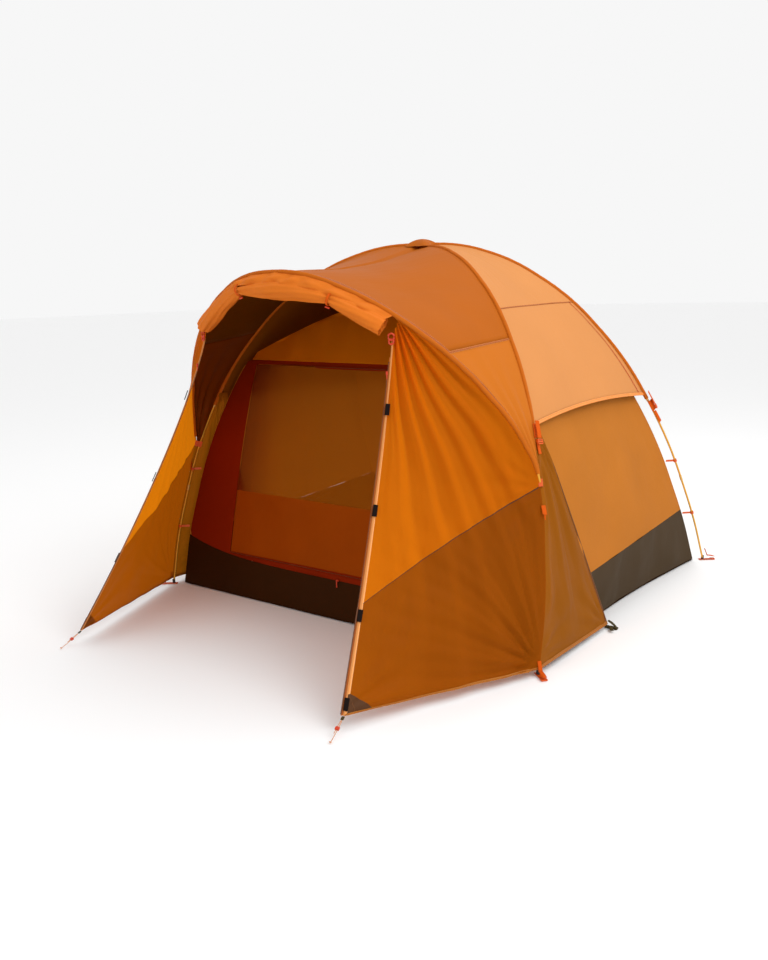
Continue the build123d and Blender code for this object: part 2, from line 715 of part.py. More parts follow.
def hook_tab(side, share):
    """Black closure tab on the outside of a zip's edge."""
    edge = porch_front(side, share)
    ahead = (porch_front(side, share + 0.01) - porch_front(side, share - 0.01)).normalized()
    back = (porch_back(side, share) - edge).normalized()
    out = ahead.cross(back).normalized()
    if out.X * side < 0:
        out = -out
    frame = Plane(edge + out * 3.4 + back * 2, x_dir=ahead, z_dir=out)
    return (frame * Box(50, 20, 2.4)).solid()


def zip_slider(side):
    """Slider and pull of a porch zip, parked at the top of the tape."""
    share = 0.085
    edge = porch_front(side, share)
    back = (porch_back(side, share) - edge).normalized()
    place = edge - back * (SEAM_GAP + 12.0 + 9.0)
    body = fillet(Box(8, 8, 14).edges().filter_by(Axis.Z), 2.0)
    pull = Pos(0, 0, -17) * Box(5, 2, 24)
    return (Pos(place.X, place.Y, place.Z) * (body + pull)).solid()


def sill_slider():
    """Slider of the inner door's zip, in the middle of the sill."""
    seat = front_point(0.0, SILL_HEIGHT + 4)
    return (Pos(seat.X, seat.Y - 5.5, seat.Z) * fillet(Box(14, 6, 9).edges().filter_by(Axis.Y), 2.0)).solid()


def sill_pull():
    """Pull that hangs from the sill's slider."""
    seat = front_point(0.0, SILL_HEIGHT + 4)
    return (Pos(seat.X, seat.Y - 12.0, seat.Z - 16) * Box(6, 2.4, 38)).solid()


# ---- porch guy cords ----------------------------------------------------------------------------


def cord_frame(side):
    """Frame on a porch corner: x runs down the cord to its stake point."""
    corner = Vector(side * PORCH_HALF_WIDTH, -FLOOR_DEPTH / 2 - PORCH_REACH, PORCH_CORNER_HEIGHT)
    stake = Vector(side * (PORCH_HALF_WIDTH + 19), corner.Y - STAKE_OUT, CORD_R + 0.5)
    down = (stake - corner).normalized()
    level = down.cross(Vector(0, 0, 1)).normalized()
    return Plane(corner, x_dir=down, z_dir=level.cross(down).normalized() * -1), (stake - corner).length


def cord_route(side):
    """From the tail behind the line lock, up round the corner's loop, and down to the stake point."""
    frame, length = cord_frame(side)
    half = STRAND / 2
    flat = ((LOCK_DOWN + TAIL, half), (CORD_START, half), (CORD_START + 0.3, -half),
            (LOCK_DOWN + TAIL, -half), (length - 4, -half + 1.5))
    return [frame.from_local_coords(Vector(x, y, 0)) for x, y in flat]


def guy_cord(side):
    route = cord_route(side)
    radii = route_radii(route)
    print("guy cord radii", [round(r, 1) for r in radii])
    return tube(route, radii, CORD_R)


def line_lock(side):
    """Small block that grips the two strands."""
    frame, _ = cord_frame(side)
    body = Box(14, STRAND + 9, 9)
    bores = Pos(0, STRAND / 2, 0) * Rot(0, 90, 0) * Cylinder(CORD_R + 0.5, 40)
    bores += Pos(0, -STRAND / 2, 0) * Rot(0, 90, 0) * Cylinder(CORD_R + 0.5, 40)
    return (frame * (Pos(LOCK_DOWN, 0, 0) * (body - bores))).solid()


def corner_loop(side):
    """Webbing loop on the porch corner that the cord runs through."""
    frame, _ = cord_frame(side)
    body = Pos(CORD_START / 2 - 0.5, 0, 0) * Box(CORD_START - 2 * CORD_R - 1, 12, 3)
    return (frame * body).solid()


# ---- every node ------------------------------------------------------------------------------------
def leg_line(pole_a, pole_b, side, end):
    """Centre line of the crossing pole that a leg belongs to."""
    route = pole_a if side * end == -1 else pole_b
    return rounded_route(route, route_radii(route))


def all_nodes():
    pole_a = leg_route(RIGHT, 0.0)
    pole_b = leg_route(LEFT, UPPER_POLE_LIFT)
    hoop_line = hoop_route()
    nodes = {
        "main_pole_a": pole_sections(pole_a)[0],
        "main_pole_b": pole_sections(pole_b)[0],
        "hoop_pole": pole_sections(hoop_line)[0],
        "pole_ferrules": ferrules(pole_a) + ferrules(pole_b) + ferrules(hoop_line),
        "hoop_sleeve": [hoop_sleeve()],
        "apex_patch": [apex_patch()],
        "fly_rear": [fly_rear()],
        "fly_roof": [fly_roof()],
        "rear_wall": [rear_wall()],
        "rear_bucket": [rear_bucket()],
        "front_bucket": [front_bucket()],
        "front_wall": [front_wall()],
        "front_vent": [front_vent()],
        "door_band": [door_band()],
        "door_netting": [door_netting()],
        "floor_sheet": [floor_sheet()],
        "rolled_door": [rolled_door()],
        "roll_ties": [roll_tie(share) for share in TIE_SHARES],
        "sill_slider": [sill_slider()],
        "sill_pull": [sill_pull()],
        "hoop_sockets": [hoop_socket(side, leg_line(pole_a, pole_b, side, FRONT)) for side, _ in SIDES],
        "side_stake_loops": [stake_loop(side) for side, _ in SIDES],
        "hook_tabs": [hook_tab(side, share) for side, _ in SIDES for share in TAB_SHARES],
        "pole_clips": [pole_clip(side, end, leg_line(pole_a, pole_b, side, end), height)
                       for side, end, _ in CORNERS for height in CLIP_HEIGHTS],
        "corner_straps": [corner_strap(side, end) for side, end, _ in CORNERS],
        "tension_straps": [tension_strap(side, end) for side, end, _ in CORNERS],
        "corner_loops": [corner_loop(side) for side, _ in SIDES],
        "zip_tapes": [zip_tape(side) for side, _ in SIDES],
        "side_buckets": [side_bucket(side) for side, _ in SIDES],
    }
    tips = []
    sleeves = {FRONT: [], REAR: []}
    for side, end, name in CORNERS:
        route = pole_a if side * end == -1 else pole_b
        from_front = end == FRONT
        tips.append(pole_tip(side, end, route if from_front else list(reversed(route))))
        sleeves[end].append(sleeve(route, from_front))
        nodes[f"ladder_lock_{name}"] = [ladder_lock(side, end)]
        nodes[f"tension_lock_{name}"] = [tension_lock(side, end)]
    nodes["pole_tips"] = tips
    nodes["sleeves_front"] = sleeves[FRONT]
    nodes["sleeves_rear"] = sleeves[REAR]
    for number, share in enumerate(TIE_SHARES):
        nodes[f"roll_toggle_{SIDES[number][1]}"] = [roll_toggle(share)]
    for side, name in SIDES:
        nodes[f"fly_side_{name}"] = [fly_side(side)]
        nodes[f"fly_shoulder_{name}"] = [fly_shoulder(side)]
        nodes[f"side_wall_{name}"] = [side_wall(side)]
        nodes[f"porch_upper_{name}"] = [porch_upper(side)]
        nodes[f"porch_lower_{name}"] = [porch_lower(side)]
        nodes[f"wing_{name}"] = [wing(side)]
        nodes[f"zip_slider_{name}"] = [zip_slider(side)]
        nodes[f"guy_cord_{name}"] = [guy_cord(side)]
        nodes[f"line_lock_{name}"] = [line_lock(side)]
    return nodes


os.makedirs("parts", exist_ok=True)
for node_name, solids in all_nodes().items():
    shape = solids[0] if len(solids) == 1 else Compound(children=solids)
    export_step(shape, f"parts/{node_name}.step")
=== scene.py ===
# %% [markdown]
# # A dome tent, pitched with its porch open
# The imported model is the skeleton: poles, buckles, clips and the place of every panel. This script
# hangs the cloth on it. It starts by loading that frame and keeping its box, because nothing that
# is sewn here may reach far outside it.

# %% Load the frame
import bpy
import bmesh
import math
from functools import lru_cache
from mathutils import Matrix, Vector, noise


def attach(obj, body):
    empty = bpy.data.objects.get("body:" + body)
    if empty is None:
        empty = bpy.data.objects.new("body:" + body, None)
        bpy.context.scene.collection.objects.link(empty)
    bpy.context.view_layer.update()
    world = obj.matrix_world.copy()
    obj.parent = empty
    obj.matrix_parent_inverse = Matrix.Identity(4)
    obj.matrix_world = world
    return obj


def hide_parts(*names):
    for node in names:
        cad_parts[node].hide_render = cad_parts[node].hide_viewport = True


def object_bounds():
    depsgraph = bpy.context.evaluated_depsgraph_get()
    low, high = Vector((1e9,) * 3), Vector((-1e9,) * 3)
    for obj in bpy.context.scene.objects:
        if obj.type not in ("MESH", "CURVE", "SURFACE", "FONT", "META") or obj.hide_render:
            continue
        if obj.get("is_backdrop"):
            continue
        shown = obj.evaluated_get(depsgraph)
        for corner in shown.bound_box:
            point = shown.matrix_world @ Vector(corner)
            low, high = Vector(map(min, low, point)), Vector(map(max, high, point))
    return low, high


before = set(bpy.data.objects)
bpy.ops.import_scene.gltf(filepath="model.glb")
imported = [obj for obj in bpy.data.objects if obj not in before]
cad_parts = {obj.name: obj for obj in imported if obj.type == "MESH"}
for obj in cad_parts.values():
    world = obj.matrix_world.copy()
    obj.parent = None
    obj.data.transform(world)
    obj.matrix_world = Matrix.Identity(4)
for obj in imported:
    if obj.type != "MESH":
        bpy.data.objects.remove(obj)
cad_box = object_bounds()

print("frame", [round(high - low, 3) for low, high in zip(*cad_box)], "m")

# %% [markdown]
# ## Camera and light
# The tent is seen from head height and a few metres off, turned a little to one side, under a
# large soft light. A matrix built from the camera's right, up and forward directions states that
# view plainly, where three Euler angles would hide it.

# %% Camera
CAMERA_AT = Vector((3.042, -4.523, 1.686))
CAMERA_YAW = -0.6543
CAMERA_PITCH = -0.2029
CAMERA_ROLL = -0.026
LENS = 35.43


def camera_axes(yaw, pitch, roll):
    """Right, up and forward directions of a camera."""
    forward = Vector((math.sin(yaw) * math.cos(pitch), math.cos(yaw) * math.cos(pitch), math.sin(pitch)))
    level = Vector((math.cos(yaw), -math.sin(yaw), 0))
    up = level.cross(forward)
    right = math.cos(roll) * level + math.sin(roll) * up
    return right, math.cos(roll) * up - math.sin(roll) * level, forward


camera_data = bpy.data.cameras.new("camera")
camera_data.lens = LENS
camera = bpy.data.objects.new("camera", camera_data)
bpy.context.scene.collection.objects.link(camera)
right, up, forward = camera_axes(CAMERA_YAW, CAMERA_PITCH, CAMERA_ROLL)
turn = Matrix((right, up, -forward)).transposed()
camera.matrix_world = Matrix.Translation(CAMERA_AT) @ turn.to_4x4()
bpy.context.scene.camera = camera
bpy.context.scene.view_settings.view_transform = "Standard"

# %% World, lights and floor
WHITE_ROOM = 0.93


def area_light(name, place, target, size, power):
    data = bpy.data.lights.new(name, "AREA")
    data.size = size
    data.energy = power
    lamp = bpy.data.objects.new(name, data)
    lamp.location = place
    lamp.rotation_euler = (Vector(target) - Vector(place)).to_track_quat("-Z", "Y").to_euler()
    bpy.context.scene.collection.objects.link(lamp)


world = bpy.data.worlds.new("white_room")
world.use_nodes = True
world.node_tree.nodes["Background"].inputs["Color"].default_value = (1, 1, 1, 1)
world.node_tree.nodes["Background"].inputs["Strength"].default_value = WHITE_ROOM
bpy.context.scene.world = world
area_light("key", (4.5, -1.5, 4.5), (0, -0.2, 0.7), 3.0, 105)
area_light("top", (1.0, 1.5, 6.0), (0, 0, 0.8), 4.0, 70)

floor_data = bpy.data.meshes.new("studio_floor")
bm = bmesh.new()
bmesh.ops.create_grid(bm, x_segments=1, y_segments=1, size=60)
bm.to_mesh(floor_data)
bm.free()
studio_floor = bpy.data.objects.new("studio_floor", floor_data)
studio_floor.location.z = -0.002
pale = bpy.data.materials.new("studio_paper")
pale.use_nodes = True
pale.node_tree.nodes["Principled BSDF"].inputs["Base Color"].default_value = (0.96, 0.96, 0.96, 1)
pale.node_tree.nodes["Principled BSDF"].inputs["Roughness"].default_value = 0.95
floor_data.materials.append(pale)
bpy.context.scene.collection.objects.link(studio_floor)
studio_floor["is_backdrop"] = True

# %% [markdown]
# ## Shader maths as plain expressions
# Cloth needs many small formulas: a weave, a stitch, a stain. Nodes wired one by one are hard to
# read, so a small class wraps a socket and lets `a * b + 0.2` add the Math nodes itself.

# %% A socket that does arithmetic
class Wire:
    def __init__(self, tree, socket):
        self.tree = tree
        self.socket = socket

    def maths(self, operation, *others):
        inputs = {0: self, **dict(enumerate(others, 1))}
        return node(self.tree, "ShaderNodeMath", {"operation": operation}, inputs)

    def __add__(self, other): return self.maths("ADD", other)
    __radd__ = __add__
    def __mul__(self, other): return self.maths("MULTIPLY", other)
    __rmul__ = __mul__
    def __sub__(self, other): return self.maths("SUBTRACT", other)
    def __rsub__(self, other): return self * -1.0 + other


def node(tree, kind, settings, inputs, output=0):
    """Adds a node, sets its options, then its sockets from numbers or wires."""
    made = tree.nodes.new(kind)
    for key, value in settings.items():
        setattr(made, key, value)
    for key, value in inputs.items():
        if isinstance(value, Wire):
            tree.links.new(value.socket, made.inputs[key])
        else:
            made.inputs[key].default_value = value
    return Wire(tree, made.outputs[output])


def tint(tree, share, low, high):
    """Mixes two colours by a wire."""
    return node(tree, "ShaderNodeMix", {"data_type": "RGBA"}, {0: share, 6: (*low, 1), 7: (*high, 1)}, 2)


def stretched(tree, coordinates, scale):
    return node(tree, "ShaderNodeMapping", {}, {0: coordinates, "Scale": scale})


def cloudy(tree, coordinates, scale, detail=3.0):
    return node(tree, "ShaderNodeTexNoise", {}, {"Vector": coordinates, "Scale": scale, "Detail": detail})


def ribs(tree, coordinates, direction, scale):
    return node(tree, "ShaderNodeTexWave", {"bands_direction": direction, "wave_profile": "SIN"},
                {"Vector": coordinates, "Scale": scale}, 1)


def bumped(tree, height, strength, distance):
    return node(tree, "ShaderNodeBump", {}, {"Height": height, "Strength": strength, "Distance": distance})


def darker_and_lighter(colour, low, high):
    """Two tones of one colour."""
    return tuple(c * low for c in colour), tuple(min(c * high, 1.0) for c in colour)


def fresh_material(name):
    material = bpy.data.materials.new(name)
    material.use_nodes = True
    tree = material.node_tree
    tree.nodes.remove(tree.nodes["Principled BSDF"])
    return material, tree, tree.nodes["Material Output"]


def uv_metres(tree):
    return node(tree, "ShaderNodeTexCoord", {}, {}, 2)


def object_place(tree):
    return node(tree, "ShaderNodeTexCoord", {}, {}, 3)


def plain_skin(tree, out, **sockets):
    """A Principled surface; Base_Color stands for the socket Base Color."""
    named = {key.replace("_", " "): value for key, value in sockets.items()}
    skin = node(tree, "ShaderNodeBsdfPrincipled", {}, named)
    tree.links.new(skin.socket, out.inputs["Surface"])

# %% [markdown]
# ## Cloth that light passes through
# Tent cloth is a thin coated weave. Light falls through it, so the inside of a porch wall glows
# brighter than its shaded outside. A Principled shader alone would look like painted board, so it
# is mixed with a Translucent one. The UV map is in metres, which keeps the weave at one size on
# every panel, and slow clouds of colour stand for the places where the cloth has been folded.

# %% Cloth material
WEAVE_SCALE = 35.0


def weave(tree, coordinates):
    across = ribs(tree, coordinates, "X", WEAVE_SCALE)
    along = ribs(tree, coordinates, "Y", WEAVE_SCALE)
    return (across + along) * 0.5


CLOTH_GLOSS = 0.05


def cloth_finish(name, colour, glow, through, rough=0.55, creases=0.35, shade=0.84):
    """Coated cloth: its colour, the colour of light through it, and how much passes."""
    material, tree, out = fresh_material(name)
    uv = uv_metres(tree)
    clouds = cloudy(tree, uv, 2.2)
    fine = cloudy(tree, uv, 90.0, 2.0)
    folds = cloudy(tree, stretched(tree, uv, (9.0, 1.6, 1.0)), 1.4, 5.0)
    mottle = clouds * 0.75 + fine * 0.25
    base = tint(tree, mottle, *darker_and_lighter(colour, shade, 2 - shade))
    height = folds * creases + weave(tree, uv) * 0.012 + fine * 0.02
    normal = bumped(tree, height, 0.5, 0.02)
    roughness = mottle * 0.2 + (rough - 0.1)
    skin = node(tree, "ShaderNodeBsdfPrincipled", {}, {"Base Color": base, "Roughness": roughness,
                "Normal": normal, "Specular IOR Level": CLOTH_GLOSS})
    lit = node(tree, "ShaderNodeBsdfTranslucent", {}, {"Color": (*glow, 1), "Normal": normal})
    mixed = node(tree, "ShaderNodeMixShader", {}, {0: through, 1: skin, 2: lit})
    tree.links.new(mixed.socket, out.inputs["Surface"])
    return material


ROOF = cloth_finish("roof_cloth", (0.47, 0.115, 0.007), (0.50, 0.13, 0.01), through=0.10, shade=0.9)
PEACH = cloth_finish("fly_side_cloth", (0.70, 0.285, 0.088), (0.8, 0.28, 0.04), through=0.14, shade=0.9)
CORAL = cloth_finish("shoulder_cloth", (0.60, 0.165, 0.014), (0.7, 0.22, 0.02), through=0.14, shade=0.9)
ROLLED = cloth_finish("rolled_cloth", (0.74, 0.185, 0.018), (0.9, 0.25, 0.02), through=0.12, shade=0.85)
AMBER = cloth_finish("porch_upper_cloth", (0.76, 0.185, 0.002), (1.0, 0.29, 0.004), through=0.56)
BROWN = cloth_finish("porch_lower_cloth", (0.31, 0.076, 0.0006), (0.68, 0.155, 0.002), through=0.38)
WING = cloth_finish("wing_cloth", (0.335, 0.102, 0.004), (0.45, 0.14, 0.004), through=0.24)
TAN = cloth_finish("wall_cloth", (0.58, 0.195, 0.026), (0.62, 0.20, 0.02), through=0.22, rough=0.7)
# Painted shade: the front wall stands under the porch roof, and its dark red-brown colour paints the shade it
# is in.
FRONT_WALL_SHADE = cloth_finish("front_wall_painted_shade", (0.23, 0.015, 0.0004), (0.28, 0.025, 0.001), through=0.10, rough=0.8)
BAND = cloth_finish("door_band_cloth", (0.36, 0.062, 0.0006), (0.46, 0.09, 0.001), through=0.2, rough=0.75)
# Painted light: the half-moon vent is orange cloth, made brighter than the wall round it to paint the light
# that shines through it.
VENT_PAINTED_LIGHT = cloth_finish("vent_painted_light_cloth", (0.85, 0.22, 0.002), (1.0, 0.31, 0.004), through=0.48, rough=0.7)
GREY_TAUPE = cloth_finish("bucket_side_cloth", (0.066, 0.042, 0.022), (0.03, 0.02, 0.008), through=0.02,
                          rough=0.7)
# Painted shade: a darker copy of the bucket colour, for the ground cloth and the front bucket, which stand in
# the shade of the tent and the porch.
SHADED_FLOOR_CLOTH = cloth_finish("bucket_cloth", (0.036, 0.0105, 0.0015), (0.02, 0.01, 0.002), through=0.02, rough=0.75)
SLEEVE = cloth_finish("sleeve_cloth", (0.56, 0.135, 0.009), (0.8, 0.24, 0.02), through=0.14)
# Painted shade: dark copies of the fly colours for its inner faces, for the shadow under the fly.
ROOF_INSIDE_SHADE = cloth_finish("roof_inside_painted_shade", (0.13, 0.040, 0.001), (0.22, 0.07, 0.003), through=0.10)
SHOULDER_INSIDE_SHADE = cloth_finish("shoulder_inside_painted_shade", (0.17, 0.036, 0.001), (0.30, 0.07, 0.003), through=0.14)
SIDE_INSIDE_SHADE = cloth_finish("side_inside_painted_shade", (0.24, 0.075, 0.003), (0.34, 0.11, 0.006), through=0.16)

# %% [markdown]
# The inside of the fly is given darker copies of its face colours: painted shade, for the shadow that
# falls under the fly, which is why a porch looks dim even under a bright roof. A Solidify modifier
# gives the sheet its second skin, with a material of its own, so one piece of cloth has both faces.

# %% The inner face, in painted shade
CLOTH_THICKNESS = 0.0008


def line_with(made, inside):
    """Gives a sheet its inner face, in a darker material that paints the shade under the fly."""
    made.data.materials.append(inside)
    skin = made.modifiers.new("painted_shade_face", "SOLIDIFY")
    skin.thickness = CLOTH_THICKNESS
    skin.offset = -1
    skin.material_offset = 1

# %% [markdown]
# ## The curves that everything hangs on
# A pole is one springy bow, built in short sections. The frame's poles are straight runs joined by
# arcs, so the cloth is cut to that same line: a route finds the point for any share of the way, on
# a run or on the arc round a corner. The arc is close enough to a quadratic curve to be one.

# %% Pole routes
FLOOR_WIDTH, FLOOR_DEPTH = 2.4, 2.1
PEAK_HEIGHT, PEAK_Y = 1.905, -0.158
FALL = (1.0196, 0.0983)
BOW_X, BOW_FRONT, BOW_REAR = 0.691, 0.149, -0.362
HOOP_TOP = (-1.347, 1.785)
HOOP_FOOT = 0.738
HOOP_SETOFF = 0.017
HOOP_POWERS = (1.116, 1.278, 1.386)
LEG_STATIONS = (1.0, 0.90, 0.74, 0.57, 0.40, 0.24, 0.10)
HOOP_STATIONS = (0.13, 0.36, 0.56, 0.75, 0.89, 1.0)
ARC_SHARE = 0.45
POLE_CROSSING = 0.0122      # the upper pole passes this far over the other
TIP_FLOOR = 0.009
FRONT, REAR, LEFT, RIGHT = -1, 1, -1, 1
SIDES = ((LEFT, "left"), (RIGHT, "right"))
ENDS = ((FRONT, "front"), (REAR, "rear"))
LEG_LOW = 0.985             # just above a leg's foot, where the cloth is pulled


def mix(a, b, u):
    return a + (b - a) * u


def mirrored(side, place):
    """A point given for the right side, on either side."""
    return Vector((side * place[0], *place[1:]))


def bow_point(side, end, s):
    """Where a leg's bow would run if it had no sections."""
    fall = FALL[0] * s**2 + FALL[1] * s**4 + (1 - sum(FALL)) * s**8
    bow = s * (1 - s**2)
    x = side * (FLOOR_WIDTH / 2 * s + BOW_X * bow)
    y = PEAK_Y + (end * FLOOR_DEPTH / 2 - PEAK_Y) * s + end * (BOW_FRONT if end < 0 else BOW_REAR) * bow
    return Vector((x, y, PEAK_HEIGHT * (1 - fall)))


def hoop_bow_point(t):
    foot = bow_point(RIGHT, FRONT, HOOP_FOOT)
    turn = abs(t) * math.pi / 2
    up = max(math.cos(turn), 0.0)**HOOP_POWERS[1]
    x = math.copysign(foot.x * math.sin(turn)**HOOP_POWERS[0], t)
    y = foot.y - HOOP_SETOFF + (HOOP_TOP[0] - foot.y) * up**HOOP_POWERS[2]
    return Vector((x, y, foot.z + (HOOP_TOP[1] - foot.z) * up))


class Route:
    """Straight runs between stations, with the corners rounded."""

    def __init__(self, stations, corners):
        self.stations = stations
        self.corners = corners
        runs = [(b - a).length for a, b in zip(corners, corners[1:])]
        self.cut = [0.0] + [ARC_SHARE * min(a, b) for a, b in zip(runs, runs[1:])] + [0.0]
        self.runs = runs

    def at(self, station):
        last = len(self.runs) - 1
        i = 0
        while i < last and station > self.stations[i + 1]:
            i += 1
        low, high = self.stations[i], self.stations[i + 1]
        gone = (station - low) / (high - low) * self.runs[i]
        if gone < self.cut[i]:
            return self.arc(i, 0.5 + 0.5 * gone / self.cut[i])
        if self.runs[i] - gone < self.cut[i + 1]:
            return self.arc(i + 1, 0.5 - 0.5 * (self.runs[i] - gone) / self.cut[i + 1])
        return mix(self.corners[i], self.corners[i + 1], gone / self.runs[i])

    def arc(self, i, share):
        corner = self.corners[i]
        start = corner + (self.corners[i - 1] - corner).normalized() * self.cut[i]
        stop = corner + (self.corners[i + 1] - corner).normalized() * self.cut[i]
        return mix(mix(start, corner, share), mix(corner, stop, share), share)


def leg_route(side, end):
    """Stations run from minus 0.1, past the peak, down to 1 at the foot."""
    down = list(reversed(LEG_STATIONS))
    corners = [bow_point(-side, -end, down[0])] + [bow_point(side, end, s) for s in down]
    if side == end:
        corners = [p + Vector((0, 0, POLE_CROSSING * p.z / PEAK_HEIGHT)) for p in corners]
    corners[-1].z = TIP_FLOOR
    return Route([-down[0]] + down, corners)


LEGS = {(side, end): leg_route(side, end) for side in (LEFT, RIGHT) for end in (FRONT, REAR)}
hoop_stations = [-t for t in reversed(HOOP_STATIONS)] + list(HOOP_STATIONS)
HOOP = Route(hoop_stations, [hoop_bow_point(t) for t in hoop_stations])


@lru_cache(maxsize=None)
def leg(side, end, s):
    return LEGS[side, end].at(s)


@lru_cache(maxsize=None)
def hoop(t):
    return HOOP.at(t)


print("peak", tuple(round(c, 3) for c in leg(RIGHT, FRONT, 0.0)), "hoop top", round(hoop(0.0).z, 3))

# %% [markdown]
# ## From a grid to a hanging panel
# Every panel starts as a flat grid, which is what cloth is before it is hung. Its points are then
# carried to where the panel hangs, by a function of the two shares u and v. The UV map takes the
# same grid, stretched to the panel's real width and length.

# %% Panel maker
INSIDE = Vector((0, -0.1, 0.6))


def finish_mesh(name, bm, material, smooth=True):
    mesh = bpy.data.meshes.new(name)
    bm.to_mesh(mesh)
    bm.free()
    for polygon in mesh.polygons:
        polygon.use_smooth = smooth
    made = bpy.data.objects.new(name, mesh)
    bpy.context.scene.collection.objects.link(made)
    made.data.materials.append(material)
    return made


def sew(name, point, across, down, material, nodes, body="tent"):
    """A panel that stands for CAD nodes, which it hides."""
    made, wide, tall = panel(name, point, across, down, material, body)
    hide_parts(*nodes)
    return made, wide, tall


def run_length(point, fixed_v, steps=12):
    points = [point(i / steps, fixed_v) for i in range(steps + 1)]
    return sum((b - a).length for a, b in zip(points, points[1:]))


def panel(name, point, across, down, material, body="tent"):
    """One sheet of cloth; point(u, v) says where each spot of it hangs. Gives its width and length too."""
    bm = bmesh.new()
    bmesh.ops.create_grid(bm, x_segments=across, y_segments=down, size=0.5)
    layer = bm.loops.layers.uv.new("cloth")
    wide = max(run_length(point, v) for v in (0.1, 0.5, 0.9))
    tall = max(run_length(lambda a, b, u=u: point(u, a), 0) for u in (0.1, 0.5, 0.9))
    shares = {v: (v.co.x + 0.5, v.co.y + 0.5) for v in bm.verts}
    for face in bm.faces:
        for loop in face.loops:
            u, v = shares[loop.vert]
            loop[layer].uv = (u * wide, v * tall)
    for vert, (u, v) in shares.items():
        vert.co = point(u, v)
    bmesh.ops.remove_doubles(bm, verts=bm.verts, dist=0.00005)
    middle = point(0.5, 0.5)
    bm.normal_update()
    centre_face = min(bm.faces, key=lambda f: (f.calc_center_median() - middle).length)
    if centre_face.normal.dot(middle - INSIDE) < 0:
        bmesh.ops.reverse_faces(bm, faces=bm.faces)
    made = finish_mesh(name, bm, material)
    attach(made, body)
    return made, wide, tall


def outward(point, u, v, step=0.01):
    """Direction out of the tent at a spot of a panel."""
    du = point(min(u + step, 1.0), v) - point(max(u - step, 0.0), v)
    dv = point(u, min(v + step, 1.0)) - point(u, max(v - step, 0.0))
    normal = du.cross(dv)
    if normal.length < 1e-9:
        return Vector((0, 0, 1))
    normal.normalize()
    return normal if normal.dot(point(u, v) - INSIDE) > 0 else -normal


def shaped(point, height):
    """The panel with every spot moved out of it by height(u, v, place)."""
    def moved(u, v):
        place = point(u, v)
        return place + outward(point, u, v) * height(u, v, place)
    return moved


def soft(place, size, depth):
    """Slow unevenness of cloth that isn't pulled tight."""
    return noise.noise(place / size) * depth


def fan(place, anchor, folds, reach, depth, phase=0.0):
    """Folds that spread from a point where cloth is pulled."""
    away = place - anchor
    far = away.length
    if far < 1e-6:
        return 0.0
    angle = math.atan2(away.z, math.hypot(away.x, away.y)) + 0.6 * math.atan2(away.y, abs(away.x) + 0.05)
    rise = min(far / 0.06, 1.0)
    wobble = noise.noise(place * 2.3 + anchor) * 0.9
    turn = folds * (angle + 0.12 * wobble) + phase
    crease = 1 - 2 * abs(math.sin(turn / 2))
    return depth * rise * math.exp(-far / reach) * (0.7 * math.sin(turn) + 0.5 * crease)


def edge_fade(u, v, width=0.08):
    """0 on every edge of a panel and 1 inside it, because the edges are sewn down."""
    near = min(u, 1 - u, v, 1 - v)
    return min(near / width, 1.0)

# %% [markdown]
# ## The fly: roof, shoulders, sides and rear
# The fly is cut in panels that are sewn to the pole sleeves. Between two poles it is pulled
# nearly straight across and follows the poles down, so each panel is ruled from pole to pole, and
# then dips a little where nothing holds it. Its free edge is cut in an arch, so that it stays tight.

# %% Fly panels
EDGE = 0.0085
FLY_EDGE, FLY_RISE, FLY_TOP = 0.648, 0.012, 0.018


def towards(a, b, distance):
    gap = b - a
    return a + gap.normalized() * min(distance, gap.length * 0.45)


def arched(u, v, top, low):
    """A panel's share down the poles: its free top edge is cut in an arch."""
    return mix(top - FLY_RISE * 4 * u * (1 - u), low, v)


def fly_point(first, second):
    """A fly panel ruled from one leg to another, each given by its side and end."""
    def point(u, v):
        s = round(mix(FLY_TOP, FLY_EDGE - FLY_RISE * 4 * u * (1 - u), v), 5)
        a, b = leg(*first, s), leg(*second, s)
        return mix(towards(a, b, EDGE), towards(b, a, EDGE), u)
    return point


def fly_dip(u, v, place):
    waist = -0.016 * math.sin(math.pi * u) * math.sin(math.pi * min(v, 0.9))
    return waist + edge_fade(u, v) * soft(place, 0.35, 0.006)


side_fly = {}
for side, name in SIDES:
    surface = shaped(fly_point((side, FRONT), (side, REAR)), fly_dip)
    made, wide, tall = sew(f"side_fly_{name}", surface, 56, 60, PEACH, [f"fly_side_{name}"])
    line_with(made, SIDE_INSIDE_SHADE)
    side_fly[side] = surface, wide, tall
    print(name, "side fly", round(wide, 2), "x", round(tall, 2))
rear_surface = shaped(fly_point((LEFT, REAR), (RIGHT, REAR)), fly_dip)
line_with(sew("rear_fly", rear_surface, 60, 60, PEACH, ["fly_rear"])[0], SIDE_INSIDE_SHADE)


ROOF_SEAM = 0.65


def roof_point(w, v):
    """From the front legs at v = 0 out to the hoop at v = 1; w runs from left to right."""
    side = RIGHT if w >= 0 else LEFT
    back = leg(side, FRONT, round(HOOP_FOOT * abs(w), 5))
    ahead = hoop(round(math.copysign(abs(w)**1.5, w), 5))
    return mix(towards(back, ahead, EDGE), towards(ahead, back, EDGE), v)


def roof_dip(u, v, place):
    saddle = -0.045 * math.sin(math.pi * v) * (1 - (2 * u - 1)**2)
    return saddle + edge_fade(u, v, 0.05) * (soft(place, 0.4, 0.010) + soft(place * 2.1, 0.35, 0.004))


def shoulder_dip(side):
    pull = leg(side, FRONT, HOOP_FOOT)
    def height(u, v, place):
        folds = fan(place, pull, 26, 0.28, 0.016)
        return edge_fade(u, v, 0.06) * (folds + soft(place, 0.25, 0.008))
    return height


